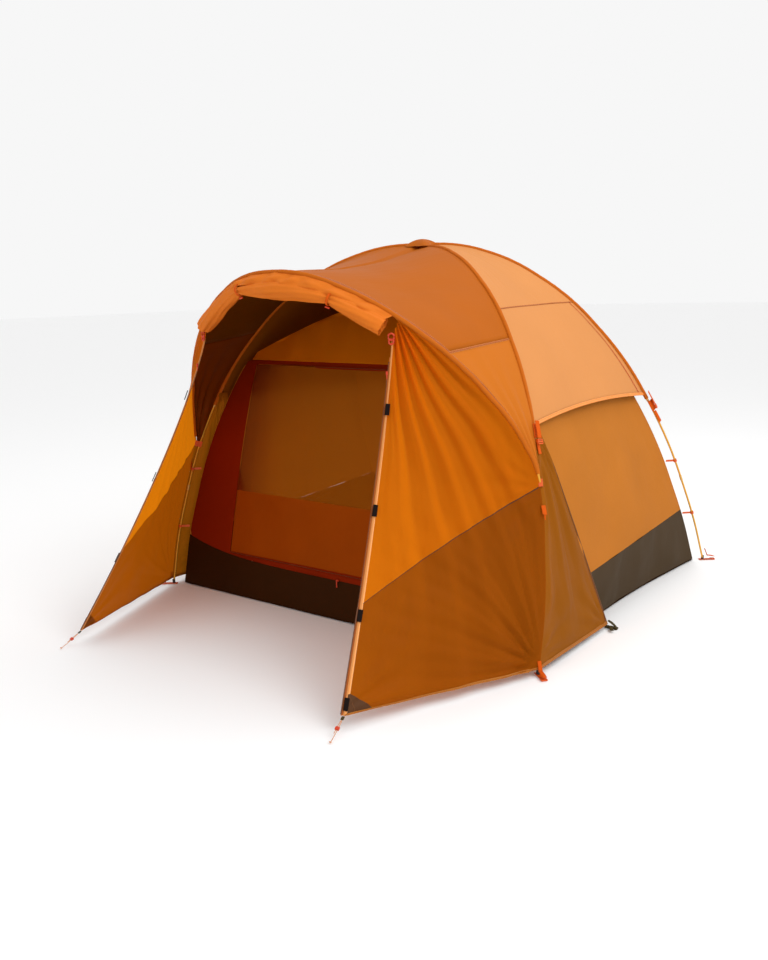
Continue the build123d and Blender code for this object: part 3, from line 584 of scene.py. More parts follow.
roof_surface = shaped(lambda u, v: roof_point(ROOF_SEAM * (2 * u - 1), v), roof_dip)
made = sew("fly_roof_panel", roof_surface, 90, 44, ROOF, ["fly_roof"])[0]
line_with(made, ROOF_INSIDE_SHADE)
shoulders = {}
for side, name in SIDES:
    base = lambda u, v, side=side: roof_point(side * mix(ROOF_SEAM, 1.0, u), v)
    shoulders[side] = shaped(base, shoulder_dip(side))
    made = sew(f"shoulder_{name}", shoulders[side], 56, 36, CORAL, [f"fly_shoulder_{name}"])[0]
    line_with(made, SHOULDER_INSIDE_SHADE)

# %% [markdown]
# ## Pole sleeves
# A sleeve is a tube of cloth sewn into the seam between two panels, so it shows as a round bulge
# with a flat flange each side. The cloth puckers where it is stitched, and that is what makes it
# look sewn. One function draws both, ring by ring, along the pole.

# %% Tubes along a route
def ring_frame(along, toward):
    """Two directions square to the way along, the first one nearest to toward."""
    first = (toward - along * toward.dot(along)).normalized()
    return first, along.cross(first).normalized()


TUBE_SEAM = 0.07            # round a sleeve, for its UV map


def tube_mesh(name, points, radius, material, toward, sides=16, pucker=0.0):
    """A soft tube along points; toward(point) is the way out of the cloth."""
    bm = bmesh.new()
    layer = bm.loops.layers.uv.new("cloth")
    rings = []
    run = 0.0
    runs = []
    for i, place in enumerate(points):
        along = (points[min(i + 1, len(points) - 1)] - points[max(i - 1, 0)]).normalized()
        first, second = ring_frame(along, toward(place))
        run += (place - points[i - 1]).length if i else 0.0
        runs.append(run)
        ring = []
        for k in range(sides):
            angle = 2 * math.pi * k / sides
            gather = noise.noise(Vector((run * 45, angle * 1.2, 0))) * (1 - 0.5 * math.cos(angle))
            grow = radius + pucker * gather
            ring.append(bm.verts.new(place + (first * math.cos(angle) + second * math.sin(angle)) * grow))
        rings.append(ring)
    for i, (a, b) in enumerate(zip(rings, rings[1:])):
        for k in range(sides):
            n = (k + 1) % sides
            face = bm.faces.new((a[k], a[n], b[n], b[k]))
            for loop, (u, v) in zip(face.loops, ((k, i), (k + 1, i), (k + 1, i + 1), (k, i + 1))):
                loop[layer].uv = (u / sides * TUBE_SEAM, runs[v])
    bmesh.ops.recalc_face_normals(bm, faces=bm.faces)
    made = finish_mesh(name, bm, material)
    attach(made, "tent")
    return made


def out_of_tent(place):
    return Vector((place.x, place.y + 0.1, place.z - 0.4)).normalized()


SLEEVE_R, SLEEVE_PUCKER = 0.0105, 0.0022
SLEEVE_FOOT, HOOP_SLEEVE_END = 0.655, 0.945


def leg_points(side, end, low, high, count):
    return [leg(side, end, round(mix(low, high, i / count), 5)) for i in range(count + 1)]


def sleeve(name, points, node_name):
    made = tube_mesh(name, points, SLEEVE_R, SLEEVE, out_of_tent, pucker=SLEEVE_PUCKER)
    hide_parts(node_name)


for end, end_name in ENDS:
    for side, name in SIDES:
        sleeve(f"sleeve_{end_name}_{name}", leg_points(side, end, 0.002, SLEEVE_FOOT, 150),
               f"sleeves_{end_name}")
hoop_points = [hoop(round(mix(-HOOP_SLEEVE_END, HOOP_SLEEVE_END, i / 220), 5)) for i in range(221)]
sleeve("sleeve_hoop", hoop_points, "hoop_sleeve")
print("sleeves", len(hoop_points), "rings round the hoop")

# %% [markdown]
# The two poles cross under a domed patch. It is a disc pushed up in the middle and lobed at its
# rim, where it is sewn to the four panels.

# %% Apex patch
CROWN_R, CROWN_LOBE = 0.088, 0.014
CROWN_HEIGHT, CROWN_DROP = 0.0245, 0.040


def crown_point(u, v):
    angle = 2 * math.pi * u
    r = (CROWN_R + CROWN_LOBE * math.cos(4 * angle + math.pi)) * v
    drop = CROWN_DROP * v**2 + 0.001 * math.sin(9 * angle) * v**2
    return Vector((r * math.cos(angle), PEAK_Y + r * math.sin(angle), PEAK_HEIGHT + CROWN_HEIGHT - drop))


crown = panel("apex_crown", crown_point, 64, 14, ROOF)[0]
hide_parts("apex_patch")

# %% [markdown]
# ## Walls and bucket floor
# The walls hang inside the poles on short clips. They are looser than the fly. Below them the
# floor's waterproof cloth comes up as a bucket, and its foot lies in shallow waves on the ground.

# %% Walls
WALL_INSET = 0.045
WALL_TOP = 0.57
BUCKET_FRONT, BUCKET_REAR, GROUND = 0.913, 0.884, 0.9995
FLOOR_BOW = 0.060


def above_ground(place):
    return Vector((place.x, place.y, max(place.z, 0.003)))


def wall_point(side, u, s, extra=0.0):
    front = leg(side, FRONT, round(s, 5)) + Vector((-side * WALL_INSET, WALL_INSET, 0))
    rear = leg(side, REAR, round(s, 5)) + Vector((-side * WALL_INSET, -WALL_INSET, 0))
    place = mix(front, rear, u) - Vector((side * extra, 0, 0))
    return above_ground(place)


def wall_slack(u, v, place):
    return edge_fade(u, v) * (soft(place, 0.3, 0.014) + soft(place + Vector((4, 0, 0)), 0.11, 0.004))


def bucket_wave(u, v, place):
    ripple = 0.010 * math.sin(9 * math.pi * u + 2) * (0.3 + 0.7 * v) + soft(place, 0.12, 0.008)
    return ripple * min(8 * u, 8 * (1 - u), 1.0) * min(6 * (1 - v) + 0.2, 1.0)


for side, name in SIDES:
    wall = lambda u, v, side=side: wall_point(
        side, u, arched(u, v, WALL_TOP, mix(BUCKET_FRONT, BUCKET_REAR, u)))
    sew(f"wall_{name}", shaped(wall, wall_slack), 40, 40, TAN, [f"side_wall_{name}"])
    bucket = lambda u, v, side=side: wall_point(side, u, mix(mix(BUCKET_FRONT, BUCKET_REAR, u), GROUND, v),
                                                FLOOR_BOW * v * math.sin(math.pi * u))
    sew(f"bucket_{name}", shaped(bucket, bucket_wave), 90, 16, GREY_TAUPE, ["side_buckets"])


def rear_point(u, s):
    left = leg(LEFT, REAR, round(s, 5)) + Vector((WALL_INSET, -WALL_INSET, 0))
    right = leg(RIGHT, REAR, round(s, 5)) + Vector((-WALL_INSET, -WALL_INSET, 0))
    place = mix(left, right, u)
    return above_ground(place)


sew("wall_rear", shaped(lambda u, v: rear_point(u, arched(u, v, WALL_TOP, BUCKET_REAR)), wall_slack), 48, 40,
    TAN, ["rear_wall"])
sew("bucket_rear", shaped(lambda u, v: rear_point(u, mix(BUCKET_REAR, GROUND, v)), bucket_wave), 90, 16,
    GREY_TAUPE, ["rear_bucket"])


def ground_cloth(u, v):
    y = mix(-FLOOR_DEPTH / 2 + 0.040, FLOOR_DEPTH / 2 - 0.040, v)
    half = FLOOR_WIDTH / 2 - 0.043 - FLOOR_BOW * math.sin(math.pi * v)
    x = half * (2 * u - 1)
    return Vector((x, y, 0.0035 + 0.004 * (0.5 + 0.5 * noise.noise(Vector((x * 4, y * 4, 1))))))


# The ground cloth is coloured in painted shade.
sew("ground_cloth", ground_cloth, 50, 44, SHADED_FLOOR_CLOTH, ["floor_sheet"])

# %% [markdown]
# ## The front wall and its door
# The wall behind the porch leans with the front legs. Its door is straight on the left, where it
# is sewn, and round on the right. It is netting above and cloth below. The wall round it is one
# ring of cloth, ruled from the door's outline out to the wall's own edge.

# %% Front wall
SILL_HEIGHT, SILL_RISE = 0.198, 0.085
VENT_BASE, VENT_TOP = 1.29, 1.60
DOOR_HALF, DOOR_TOP, DOOR_CORNER = 0.80, 1.265, 0.33
DOOR_BASE = SILL_HEIGHT + SILL_RISE * 0.4
BAND_TOP = 0.575


@lru_cache(maxsize=None)
def front_leg_at(z):
    low, high = 0.0, 1.0
    for _ in range(30):
        middle = (low + high) / 2
        low, high = (middle, high) if leg(RIGHT, FRONT, round(middle, 6)).z > z else (low, middle)
    return leg(RIGHT, FRONT, round((low + high) / 2, 6))


def post_at(z):
    """Half the wall's width and its distance forward, at a height."""
    post = front_leg_at(round(max(z, 0.012), 3))
    return post.x - WALL_INSET, post.y + WALL_INSET


def front_point(x_share, z):
    half, y = post_at(z)
    return Vector((x_share * half, y, z))


def front_place(x, z):
    return Vector((x, post_at(z)[1], z))


def sill(x_share):
    return SILL_HEIGHT + SILL_RISE * x_share**4


def door_right(z, grow=0.0):
    """Right edge of the door at a height."""
    r = DOOR_CORNER + grow
    depth = max(r - (DOOR_TOP + grow - z), r - (z - DOOR_BASE + grow), 0.0)
    return DOOR_HALF + grow - r + math.sqrt(max(r**2 - depth**2, 0.0))


def door_outline(share, grow=0.0):
    """A spot on the door's outline, once round from its lower left corner."""
    wide, tall = 2 * DOOR_HALF, DOOR_TOP - DOOR_BASE
    gone = share * 2 * (wide + tall)
    left, low = -DOOR_HALF - grow, DOOR_BASE - grow
    if gone < wide:
        x, z = left + gone * (1 + grow / DOOR_HALF), low
        corner = (DOOR_HALF + grow - DOOR_CORNER, low + DOOR_CORNER)
    elif gone < wide + tall:
        x, z = DOOR_HALF + grow, low + (gone - wide) * (1 + 2 * grow / tall)
        corner_z = min(max(z, low + DOOR_CORNER), DOOR_TOP + grow - DOOR_CORNER)
        corner = (DOOR_HALF + grow - DOOR_CORNER, corner_z)
    elif gone < 2 * wide + tall:
        x, z = DOOR_HALF + grow - (gone - wide - tall) * (1 + grow / DOOR_HALF), DOOR_TOP + grow
        corner = (DOOR_HALF + grow - DOOR_CORNER, z - DOOR_CORNER)
    else:
        return left, DOOR_TOP + grow - (gone - 2 * wide - tall) * (1 + 2 * grow / tall)
    if x > corner[0]:
        away = Vector((x - corner[0], z - corner[1]))
        if away.length > DOOR_CORNER:
            away = away.normalized() * DOOR_CORNER
            x, z = corner[0] + away.x, corner[1] + away.y
    return x, z


def wall_ring(u, v):
    """From the door's outline at v = 0 out to the wall's edge at v = 1."""
    x, z = door_outline(u % 1.0, 0.004)
    middle = (DOOR_TOP + DOOR_BASE) / 2
    low, high = 0.0, 3.0
    for _ in range(24):
        reach = (low + high) / 2
        far_x, far_z = x * reach, middle + (z - middle) * reach
        half = post_at(min(max(far_z, 0.1), VENT_BASE))[0]
        inside = abs(far_x) < half and sill(far_x / half) < far_z < VENT_BASE
        low, high = (reach, high) if inside else (low, reach)
    return front_place(mix(x, x * low, v), mix(z, middle + (z - middle) * low, v))


def wall_ease(u, v, place):
    return min(10 * v, 10 * (1 - v), 1.0) * soft(place, 0.25, 0.006)


# The front wall is coloured in painted shade.
sew("wall_front", shaped(wall_ring, wall_ease), 200, 10, FRONT_WALL_SHADE, ["front_wall"])
# The front bucket is coloured in painted shade.
sew("bucket_front", shaped(lambda u, v: front_point(2 * u - 1, mix(sill(2 * u - 1), 0.002, v)), bucket_wave),
    90, 20, SHADED_FLOOR_CLOTH, ["front_bucket"])


def vent_point(u, v):
    x_share = 2 * u - 1
    arch = VENT_BASE + (VENT_TOP - VENT_BASE) * (1 - 0.86 * x_share**2)
    return front_point(x_share * 0.97, mix(VENT_BASE, arch, v))


def vent_folds(u, v, place):
    return edge_fade(u, v) * (0.010 * math.sin(place.x * 34 + 2 * v) * v + soft(place, 0.2, 0.010))


# The vent is coloured with painted light.
sew("vent_half_moon", shaped(vent_point, vent_folds), 70, 24, VENT_PAINTED_LIGHT, ["front_vent"])

# %% [markdown]
# Netting is drawn as what it is, a hexagon-like grid of fine threads with holes between. The holes
# are cut by transparency from the same waves that make a weave.

# %% Netting and the door
THREAD_GAP = 0.0016
NET_COVER = 0.66


def netting(name, left, right):
    """Fine mesh, darker red towards the hinged side, where the sun doesn't reach the cloth behind it."""
    material, tree, out = fresh_material(name)
    uv = uv_metres(tree)
    place = object_place(tree)
    x = node(tree, "ShaderNodeSeparateXYZ", {}, {0: place}, 0)
    share = node(tree, "ShaderNodeMapRange", {"interpolation_type": "SMOOTHSTEP"}, {0: x, 1: -0.84, 2: -0.50})
    across = ribs(tree, uv, "X", 0.31 / THREAD_GAP)
    along = ribs(tree, uv, "Y", 0.31 / THREAD_GAP)
    thread = node(tree, "ShaderNodeMath", {"operation": "MAXIMUM"}, {0: across, 1: along})
    cover = node(tree, "ShaderNodeMath", {"operation": "ADD", "use_clamp": True},
                 {0: thread * 0.2, 1: NET_COVER - 0.08})
    plain_skin(tree, out, Base_Color=tint(tree, share, left, right), Roughness=0.9, Alpha=cover,
               Specular_IOR_Level=0.1)
    return material


NET = netting("door_net", (0.16, 0.017, 0.0005), (0.34, 0.088, 0.001))


def door_part(z_low, z_high):
    def point(u, v):
        z = mix(z_high, z_low, v)
        return front_place(mix(-DOOR_HALF, door_right(z), u), z)
    return point


def door_slack(u, v, place):
    pull = soft(place, 0.22, 0.012) + 0.006 * math.sin(22 * place.x + 9 * place.z)
    return edge_fade(u, v, 0.12) * pull


sew("door_lower_cloth", shaped(door_part(DOOR_BASE, BAND_TOP), door_slack), 60, 20, BAND, ["door_band"],
    body="inner_door")
sew("door_upper_net", shaped(door_part(BAND_TOP, DOOR_TOP), door_slack), 60, 36, NET, ["door_netting"],
    body="inner_door")
print("door", round(2 * DOOR_HALF, 2), "x", round(DOOR_TOP - DOOR_BASE, 2))

# %% [markdown]
# ## The porch
# The porch walls are the largest sheets in view. They hang from the hoop and the front legs, and
# are pulled to one corner each. Folds fan out from every point that pulls: the hoop's end, the
# hoop's foot, the leg's foot and the staked corner. Each is a decaying sine of the angle round it.

# %% Porch walls
PORCH_TOP = 0.384
ZIP_DROP, ZIP_POWER = 0.074, 1.25
SEAM_SHARE, SEAM_ZIP = 0.55, 0.74
PORCH_SAG = 0.030
PORCH_CORNER = (0.837, -1.943, 0.062)


def ridge(side, s):
    """The seam where the porch and the wing meet, over a front leg and the hoop's foot on it."""
    foot_step = max(1 - abs(s - HOOP_FOOT) / 0.045, 0.0)
    return leg(side, FRONT, round(s, 5)) + Vector((side * 0.0105, -0.0095 - HOOP_SETOFF * foot_step, 0))


CLOTH_FOOT = 0.993


def porch_back(side, r):
    if r < SEAM_SHARE:
        over = max(r / SEAM_SHARE - 0.8, 0.0) * 5
        hoop_spot = hoop(round(side * mix(PORCH_TOP, 1.0, r / SEAM_SHARE), 5))
        return hoop_spot + (ridge(side, HOOP_FOOT) - hoop(side * 1.0)) * over
    return ridge(side, mix(HOOP_FOOT, CLOTH_FOOT, (r - SEAM_SHARE) / (1 - SEAM_SHARE)))


def porch_front(side, r):
    if r < SEAM_SHARE:
        down = SEAM_ZIP * r / SEAM_SHARE
    else:
        down = mix(SEAM_ZIP, 1.0, (r - SEAM_SHARE) / (1 - SEAM_SHARE))
    top = hoop(side * PORCH_TOP) - Vector((0, 0.012, ZIP_DROP))
    foot = mirrored(side, PORCH_CORNER)
    flat = mix(top, foot, down**ZIP_POWER)
    return Vector((flat.x, flat.y, mix(top.z, foot.z, down)))


def porch_point(side, u, r):
    back, front = porch_back(side, r), porch_front(side, r)
    base = mix(towards(back, front, 0.012 * max(1 - r / SEAM_SHARE, 0.0)), front, u)
    pull = PORCH_SAG * math.sin(math.pi * u) * math.sin(math.pi * min(r * 1.05, 1.0))
    return base - Vector((side * pull, 0, 0))


def porch_folds(side):
    calm = 1.0 if side == RIGHT else 0.4
    crest, low = hoop(side * PORCH_TOP), leg(side, FRONT, LEG_LOW)
    anchors = ((crest, 25, 1.6, 0.014), (crest, 53, 1.3, 0.0045),
               (leg(side, FRONT, HOOP_FOOT), 14, 0.22, 0.007), (low, 15, 0.38, 0.014), (low, 40, 0.55, 0.005),
               (mirrored(side, PORCH_CORNER), 13, 0.40, 0.014))

    def height(u, r, place):
        folds = sum(fan(place, anchor, count, reach, depth, 2.0 * i)
                    for i, (anchor, count, reach, depth) in enumerate(anchors))
        slack = min(14 * r, 20 * (1 - r), 1.0) * soft(place, 0.22, 0.008)
        return min(9 * u, 7 * (1 - u), 1.0) * (folds * calm + slack)
    return height


porch = {}
for side, name in SIDES:
    whole = shaped(lambda u, r, side=side: porch_point(side, u, r), porch_folds(side))
    upper = lambda u, v, whole=whole: whole(u, mix(0.012, SEAM_SHARE, v))
    lower = lambda u, v, whole=whole: whole(u, mix(SEAM_SHARE, 1.0, v))
    porch[side] = upper, lower
    sew(f"porch_wall_upper_{name}", upper, 90, 110, AMBER, [f"porch_upper_{name}"])
    sew(f"porch_wall_lower_{name}", lower, 90, 64, BROWN, [f"porch_lower_{name}"])


WING_TOP, WING_LOOP = 0.63, (1.209, -0.347, 0.018)


def wing_point(side):
    def point(u, v):
        under_fly = Vector((-side * 0.020, 0, 0)) * max(1 - 5 * v, 0.0)
        front = ridge(side, mix(WING_TOP, CLOTH_FOOT, v))
        start = leg(side, FRONT, WING_TOP) + Vector((0, 0.042, 0))
        loop = mirrored(side, WING_LOOP)
        rear = mix(start, loop, v) + Vector((side * 0.006 * math.sin(math.pi * v), 0, 0))
        return mix(front, rear, u) + under_fly
    return point


def wing_folds(side):
    top = leg(side, FRONT, FLY_EDGE)
    loop = mirrored(side, WING_LOOP) + Vector((0, 0, 0.016))

    def height(u, v, place):
        long = 0.009 * math.sin(5 * math.pi * u + 1.0) * math.sin(math.pi * v)**0.5
        pull = fan(place, top, 34, 0.5, 0.006) + fan(place, loop, 14, 0.3, 0.012)
        pull += fan(place, leg(side, FRONT, LEG_LOW), 14, 0.3, 0.010)
        return edge_fade(u, v, 0.07) * (long + pull)
    return height


wings = {}
for side, name in SIDES:
    wings[side] = shaped(wing_point(side), wing_folds(side))
    sew(f"wing_cloth_{name}", wings[side], 44, 70, WING, [f"wing_{name}"])
print("porch walls and wings hung")

# %% [markdown]
# ## The rolled porch door
# The porch door is rolled up under the hoop and tied twice. Its roll is modelled as the cloth
# really lies: one sheet wound in a spiral of three turns, so that the open ends show the layers.
# The ties pinch it to a waist, and the folds that the pinch makes fade out along each lump.

# %% The roll
TIES = (0.318, 0.806)
ROLL_R, ROLL_WAIST = 0.046, 0.020
ROLL_DOWN = 0.0815
ROLL_STRAIGHT = 0.6
ROLL_TURNS, ROLL_INNER_EDGE = 3.2, 1.9
ROLL_SWELL = ((0.33, 1.0), (0.0, 1.0), (0.0, 0.70))     # which part of a full lump each one shows


def under_hoop(share):
    t = mix(-PORCH_TOP, PORCH_TOP, share)
    ahead = (hoop_bow_point(min(t + 0.01, 1)) - hoop_bow_point(max(t - 0.01, -1))).normalized()
    down = (Vector((0, -0.35, -1)) + ahead * ahead.z).normalized()
    return hoop_bow_point(t) + down * ROLL_DOWN


def roll_lump(share):
    """Which lump a share of the roll is in: its ends and how far along it."""
    knots = (0.0, *TIES, 1.0)
    number = sum(share > knot for knot in TIES)
    low, high = knots[number], knots[number + 1]
    return number, low, high, (share - low) / (high - low)


@lru_cache(maxsize=None)
def roll_middle(share):
    _, low, high, along = roll_lump(share)
    return mix(under_hoop(share), mix(under_hoop(low), under_hoop(high), along), ROLL_STRAIGHT)


def roll_point(u, v):
    ahead = (roll_middle(min(u + 0.01, 1.0)) - roll_middle(max(u - 0.01, 0.0))).normalized()
    first, second = ring_frame(ahead, Vector((0, -0.3, 1)))
    number, _, _, along = roll_lump(u)
    swell = math.sin(math.pi * mix(*ROLL_SWELL[number], along))
    full = ROLL_WAIST + (ROLL_R - ROLL_WAIST) * max(swell, 0.0)**0.65
    angle = 2 * math.pi * ROLL_TURNS * v - ROLL_INNER_EDGE
    pinch = 1 - (full - ROLL_WAIST) / (ROLL_R - ROLL_WAIST)
    folds = 0.0045 * math.sin(5 * angle + 3 * number) * pinch * min(v * 3, 1.0)
    loose = 0.010 * noise.noise(Vector((u * 9, math.cos(angle) * 1.3, math.sin(angle) * 1.3 + number * 5)))
    loose += 0.0022 * math.sin(9 * angle + 24 * u)
    r = full * (0.20 + 0.80 * v) + folds + loose * (0.3 + 0.7 * v) * (1 - 0.5 * pinch)
    return roll_middle(u) + (first * math.cos(angle) + second * math.sin(angle)) * r


roll = panel("rolled_porch_door", roll_point, 130, 150, ROLLED)[0]
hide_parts("rolled_door")
print("roll of", ROLL_TURNS, "turns")

# %% [markdown]
# Above the roll, the strip of door cloth that it hangs from bunches up under the hoop. It runs
# from the hoop's sleeve down behind the roll, with folds that lean the way the roll was pulled.

# %% Gathered strip over the roll
def gather_point(u, v):
    t = mix(-PORCH_TOP, PORCH_TOP, u)
    top = hoop(round(t, 5)) + Vector((0, -0.004, -0.002))
    down = roll_middle(u) + Vector((0, -0.012, 0.020))
    belly = 0.014 * math.sin(math.pi * v)
    lean = u * 60 + 5 * v + 2 * noise.noise(Vector((u * 7, v * 2, 0)))
    fold = 0.006 * math.sin(lean) * math.sin(math.pi * v) + 0.006 * noise.noise(Vector((u * 22, v * 3, 2)))
    return mix(top, down, v) + Vector((0, -belly - fold, 0.35 * fold))


panel("roll_gathered_strip", gather_point, 150, 18, ROLLED)

# %% [markdown]
# ## Tapes, hems and stitches
# What holds a tent together is its tape. A trim is a narrow piece cut from the same surface as
# the panel under it and lifted a millimetre, so it follows every fold. Its material draws two rows
# of stitches near its edges, in metres, so they are the same size on every tape.

# %% Stitched tape
STITCH = 0.0055
TAPE_WIDTH = 0.014


def stitched(name, colour, thread, width=TAPE_WIDTH):
    """Ribbed tape with two rows of stitches; across is u in metres, along is v."""
    material, tree, out = fresh_material(name)
    uv = uv_metres(tree)
    x = node(tree, "ShaderNodeSeparateXYZ", {}, {0: uv}, 0)
    y = node(tree, "ShaderNodeSeparateXYZ", {}, {0: uv}, 1)
    from_middle = (x - width / 2).maths("ABSOLUTE")
    off_row = (from_middle - width * 0.34).maths("ABSOLUTE")
    row = off_row.maths("LESS_THAN", 0.0007)
    dash = (y * (2 * math.pi / STITCH)).maths("SINE").maths("GREATER_THAN", -0.3)
    sewn = row * dash
    rib = ribs(tree, uv, "Y", 150.0)
    worn = cloudy(tree, uv, 14.0)
    base = tint(tree, worn, *darker_and_lighter(colour, 0.85, 1.15))
    coloured = node(tree, "ShaderNodeMix", {"data_type": "RGBA"}, {0: sewn, 6: base, 7: (*thread, 1)}, 2)
    normal = bumped(tree, rib * 0.25 + sewn * 0.8 + worn * 0.3, 0.5, 0.0012)
    plain_skin(tree, out, Base_Color=coloured, Roughness=worn * 0.15 + 0.6, Normal=normal,
               Specular_IOR_Level=0.3)
    return material


BINDING = stitched("light_binding", (0.85, 0.34, 0.09), (0.9, 0.6, 0.35))
DARK_HEM = stitched("dark_hem", (0.13, 0.035, 0.002), (0.35, 0.12, 0.02))
ROOF_TAPE = stitched("roof_tape", (0.36, 0.075, 0.004), (0.75, 0.35, 0.10))
SIDE_TAPE = stitched("side_tape", (0.80, 0.25, 0.045), (0.9, 0.5, 0.2))
RED_TAPE = stitched("red_tape", (0.48, 0.055, 0.004), (0.8, 0.2, 0.05))
HEM_TAPE = stitched("hem_tape", (0.36, 0.105, 0.004), (0.7, 0.3, 0.05))
PATCH = stitched("corner_patch", (0.085, 0.026, 0.002), (0.25, 0.09, 0.02), 0.05)
ZIP_TAPE = stitched("zip_tape_orange", (0.42, 0.095, 0.004), (0.7, 0.25, 0.06))


def trim(name, surface, u_range, v_range, steps, material, along="v", lift=0.0016, across=2):
    """A piece of tape on a surface; along says which of u and v it runs in."""
    def point(a, b):
        u, v = (a, b) if along == "v" else (b, a)
        return surface(mix(*u_range, u), mix(*v_range, v))

    panel(name, shaped(point, lambda u, v, place: lift), across, steps, material)


CROSS_SEAM = 0.62
for side, name in SIDES:
    surface, wide, tall = side_fly[side]
    edge, side_edge = TAPE_WIDTH / tall, TAPE_WIDTH / wide
    trim(f"fly_hem_{name}", surface, (0, 1), (1 - edge, 1), 70, SIDE_TAPE, along="u")
    trim(f"fly_cross_seam_{name}", surface, (0, 1), (CROSS_SEAM, CROSS_SEAM + edge / 2), 70, ROOF_TAPE,
         along="u")
    trim(f"fly_rear_tape_{name}", surface, (0.955, 0.955 + side_edge / 2), (CROSS_SEAM, 1), 60, RED_TAPE)
    shoulder = shoulders[side]
    trim(f"shoulder_tape_{name}", shoulder, (0.0, 0.016), (0.01, 0.99), 50, ROOF_TAPE)
    trim(f"shoulder_front_{name}", shoulder, (0.03, 0.97), (0.955, 0.985), 60, ROOF_TAPE, along="u")
    upper, lower = porch[side]
    trim(f"porch_seam_{name}", lower, (0.01, 0.99), (0.0, 0.007), 90, PATCH, along="u")
    trim(f"porch_hem_{name}", lower, (0.0, 1.0), (0.984, 1.0), 90, HEM_TAPE, along="u", lift=0.002)
    corner = lambda a, b, lower=lower: lower(0.996 - 0.13 * a * b, mix(0.80, 0.988, b))
    trim(f"porch_patch_{name}", corner, (0, 1), (0, 1), 14, PATCH, across=12)
    trim(f"porch_zip_facing_{name}", upper, (0.984, 0.999), (0.02, 1.0), 110, BINDING)
    trim(f"porch_zip_facing_low_{name}", lower, (0.986, 0.999), (0.0, 0.995), 60, BINDING)
    wing_cloth = wings[side]
    trim(f"wing_hem_{name}", wing_cloth, (0.0, 1.0), (0.984, 1.0), 44, HEM_TAPE, along="u", lift=0.002)
    trim(f"wing_edge_{name}", wing_cloth, (0.98, 1.0), (0.01, 1.0), 70, DARK_HEM)
trim("roof_front_tape", roof_surface, (0.0, 1.0), (0.955, 0.99), 120, ROOF_TAPE, along="u")
trim("rear_fly_hem", rear_surface, (0, 1), (0.99, 1), 70, SIDE_TAPE, along="u")

# %% [markdown]
# ## Zips
# A porch zip is a tape with a chain of teeth on its edge. The teeth are real geometry, four
# millimetres apart, because their shadow line is what tells the eye that it's a zip.

# %% Zip tape and teeth
TOOTH_PITCH, TOOTH = 0.004, (0.0055, 0.0022, 0.0021)
ZIP_WIDTH, ZIP_LENGTH = 0.014, 1.62


def zip_spot(side, r, offset):
    edge = porch_front(side, r)
    return edge + (edge - porch_back(side, r)).normalized() * offset


def teeth(name, line, outward, count):
    """A chain of small blocks along line(share), their long side outward."""
    bm = bmesh.new()
    for i in range(count):
        share = (i + 0.5) / count
        place = line(share)
        along = (line(min(share + 0.004, 1)) - line(max(share - 0.004, 0))).normalized()
        first, second = ring_frame(along, outward)
        sides = [way * size for way, size in zip((first, second, along), TOOTH)]
        place_it = Matrix(sides).transposed().to_4x4()
        place_it.translation = place
        bmesh.ops.create_cube(bm, size=1.0, matrix=place_it)
    made = finish_mesh(name, bm, TEETH, smooth=False)
    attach(made, "tent")


PLASTIC_GRAIN = 220.0


def moulded(name, colour, rough=0.35):
    """Moulded plastic: a fine grain and slightly uneven gloss."""
    material, tree, out = fresh_material(name)
    place = object_place(tree)
    spots = cloudy(tree, place, PLASTIC_GRAIN)
    slow = cloudy(tree, place, 18.0)
    plain_skin(tree, out, Base_Color=tint(tree, slow, *darker_and_lighter(colour, 0.88, 1.1)),
               Roughness=slow * 0.2 + rough, Normal=bumped(tree, spots, 0.15, 0.0006))
    return material


TEETH = moulded("zip_teeth", (0.16, 0.045, 0.008), 0.3)
for side, name in SIDES:
    def zip_line(share, low, high, offset, side=side):
        return zip_spot(side, mix(low, high, share), offset)

    tape = panel(f"zip_band_{name}", lambda u, v: zip_line(v, 0.05, 0.995, mix(0.0, ZIP_WIDTH, u)), 2, 90,
                 ZIP_TAPE)[0]
    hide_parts("zip_tapes")
    teeth(f"zip_teeth_{name}", lambda s: zip_line(s, 0.06, 0.99, ZIP_WIDTH), Vector((side, 0, 0)),
          int(ZIP_LENGTH / TOOTH_PITCH))
    tube_mesh(f"zip_piping_{name}", [zip_line(i / 110, 0.02, 0.998, 0.0) for i in range(111)], 0.0042, PEACH,
              lambda p: Vector((side, 0, 0)), sides=8)

# %% Door edge zip
DOOR_ZIP_SHARE = 0.72       # of the door's outline; the rest is its sewn side


def door_line(share, lift):
    """A spot on the door's zip, lifted out of the wall."""
    x, z = door_outline(share * DOOR_ZIP_SHARE)
    return front_place(x, z) - Vector((0, lift, 0))


def door_zip(u, v):
    inward = (front_place(0, 0.7) - door_line(v, 0.004)).normalized()
    return door_line(v, 0.003) + inward * mix(-0.007, 0.009, u)


# The door's zip tape takes the front wall's painted-shade colour.
panel("door_zip_tape", door_zip, 2, 220, FRONT_WALL_SHADE)
teeth("door_zip_teeth", lambda s: door_line(s, 0.005), Vector((0, -1, 0)), 700)

# %% [markdown]
# ## Poles and hardware
# The poles and buckles keep their shapes from the frame and get real finishes: gold anodised
# aluminium with fine drawn lines, grained plastic, and webbing with a woven rib.

# %% Hard finishes
def anodised(name, colour, rough):
    """Drawn and anodised aluminium tube."""
    material, tree, out = fresh_material(name)
    place = object_place(tree)
    lines = cloudy(tree, stretched(tree, place, (400.0, 400.0, 6.0)), 1.0)
    scuffs = cloudy(tree, place, 26.0)
    plain_skin(tree, out, Base_Color=tint(tree, scuffs, *darker_and_lighter(colour, 0.85, 1.0)),
               Metallic=0.75, Roughness=scuffs * 0.2 + rough, Normal=bumped(tree, lines, 0.1, 0.0004))
    return material


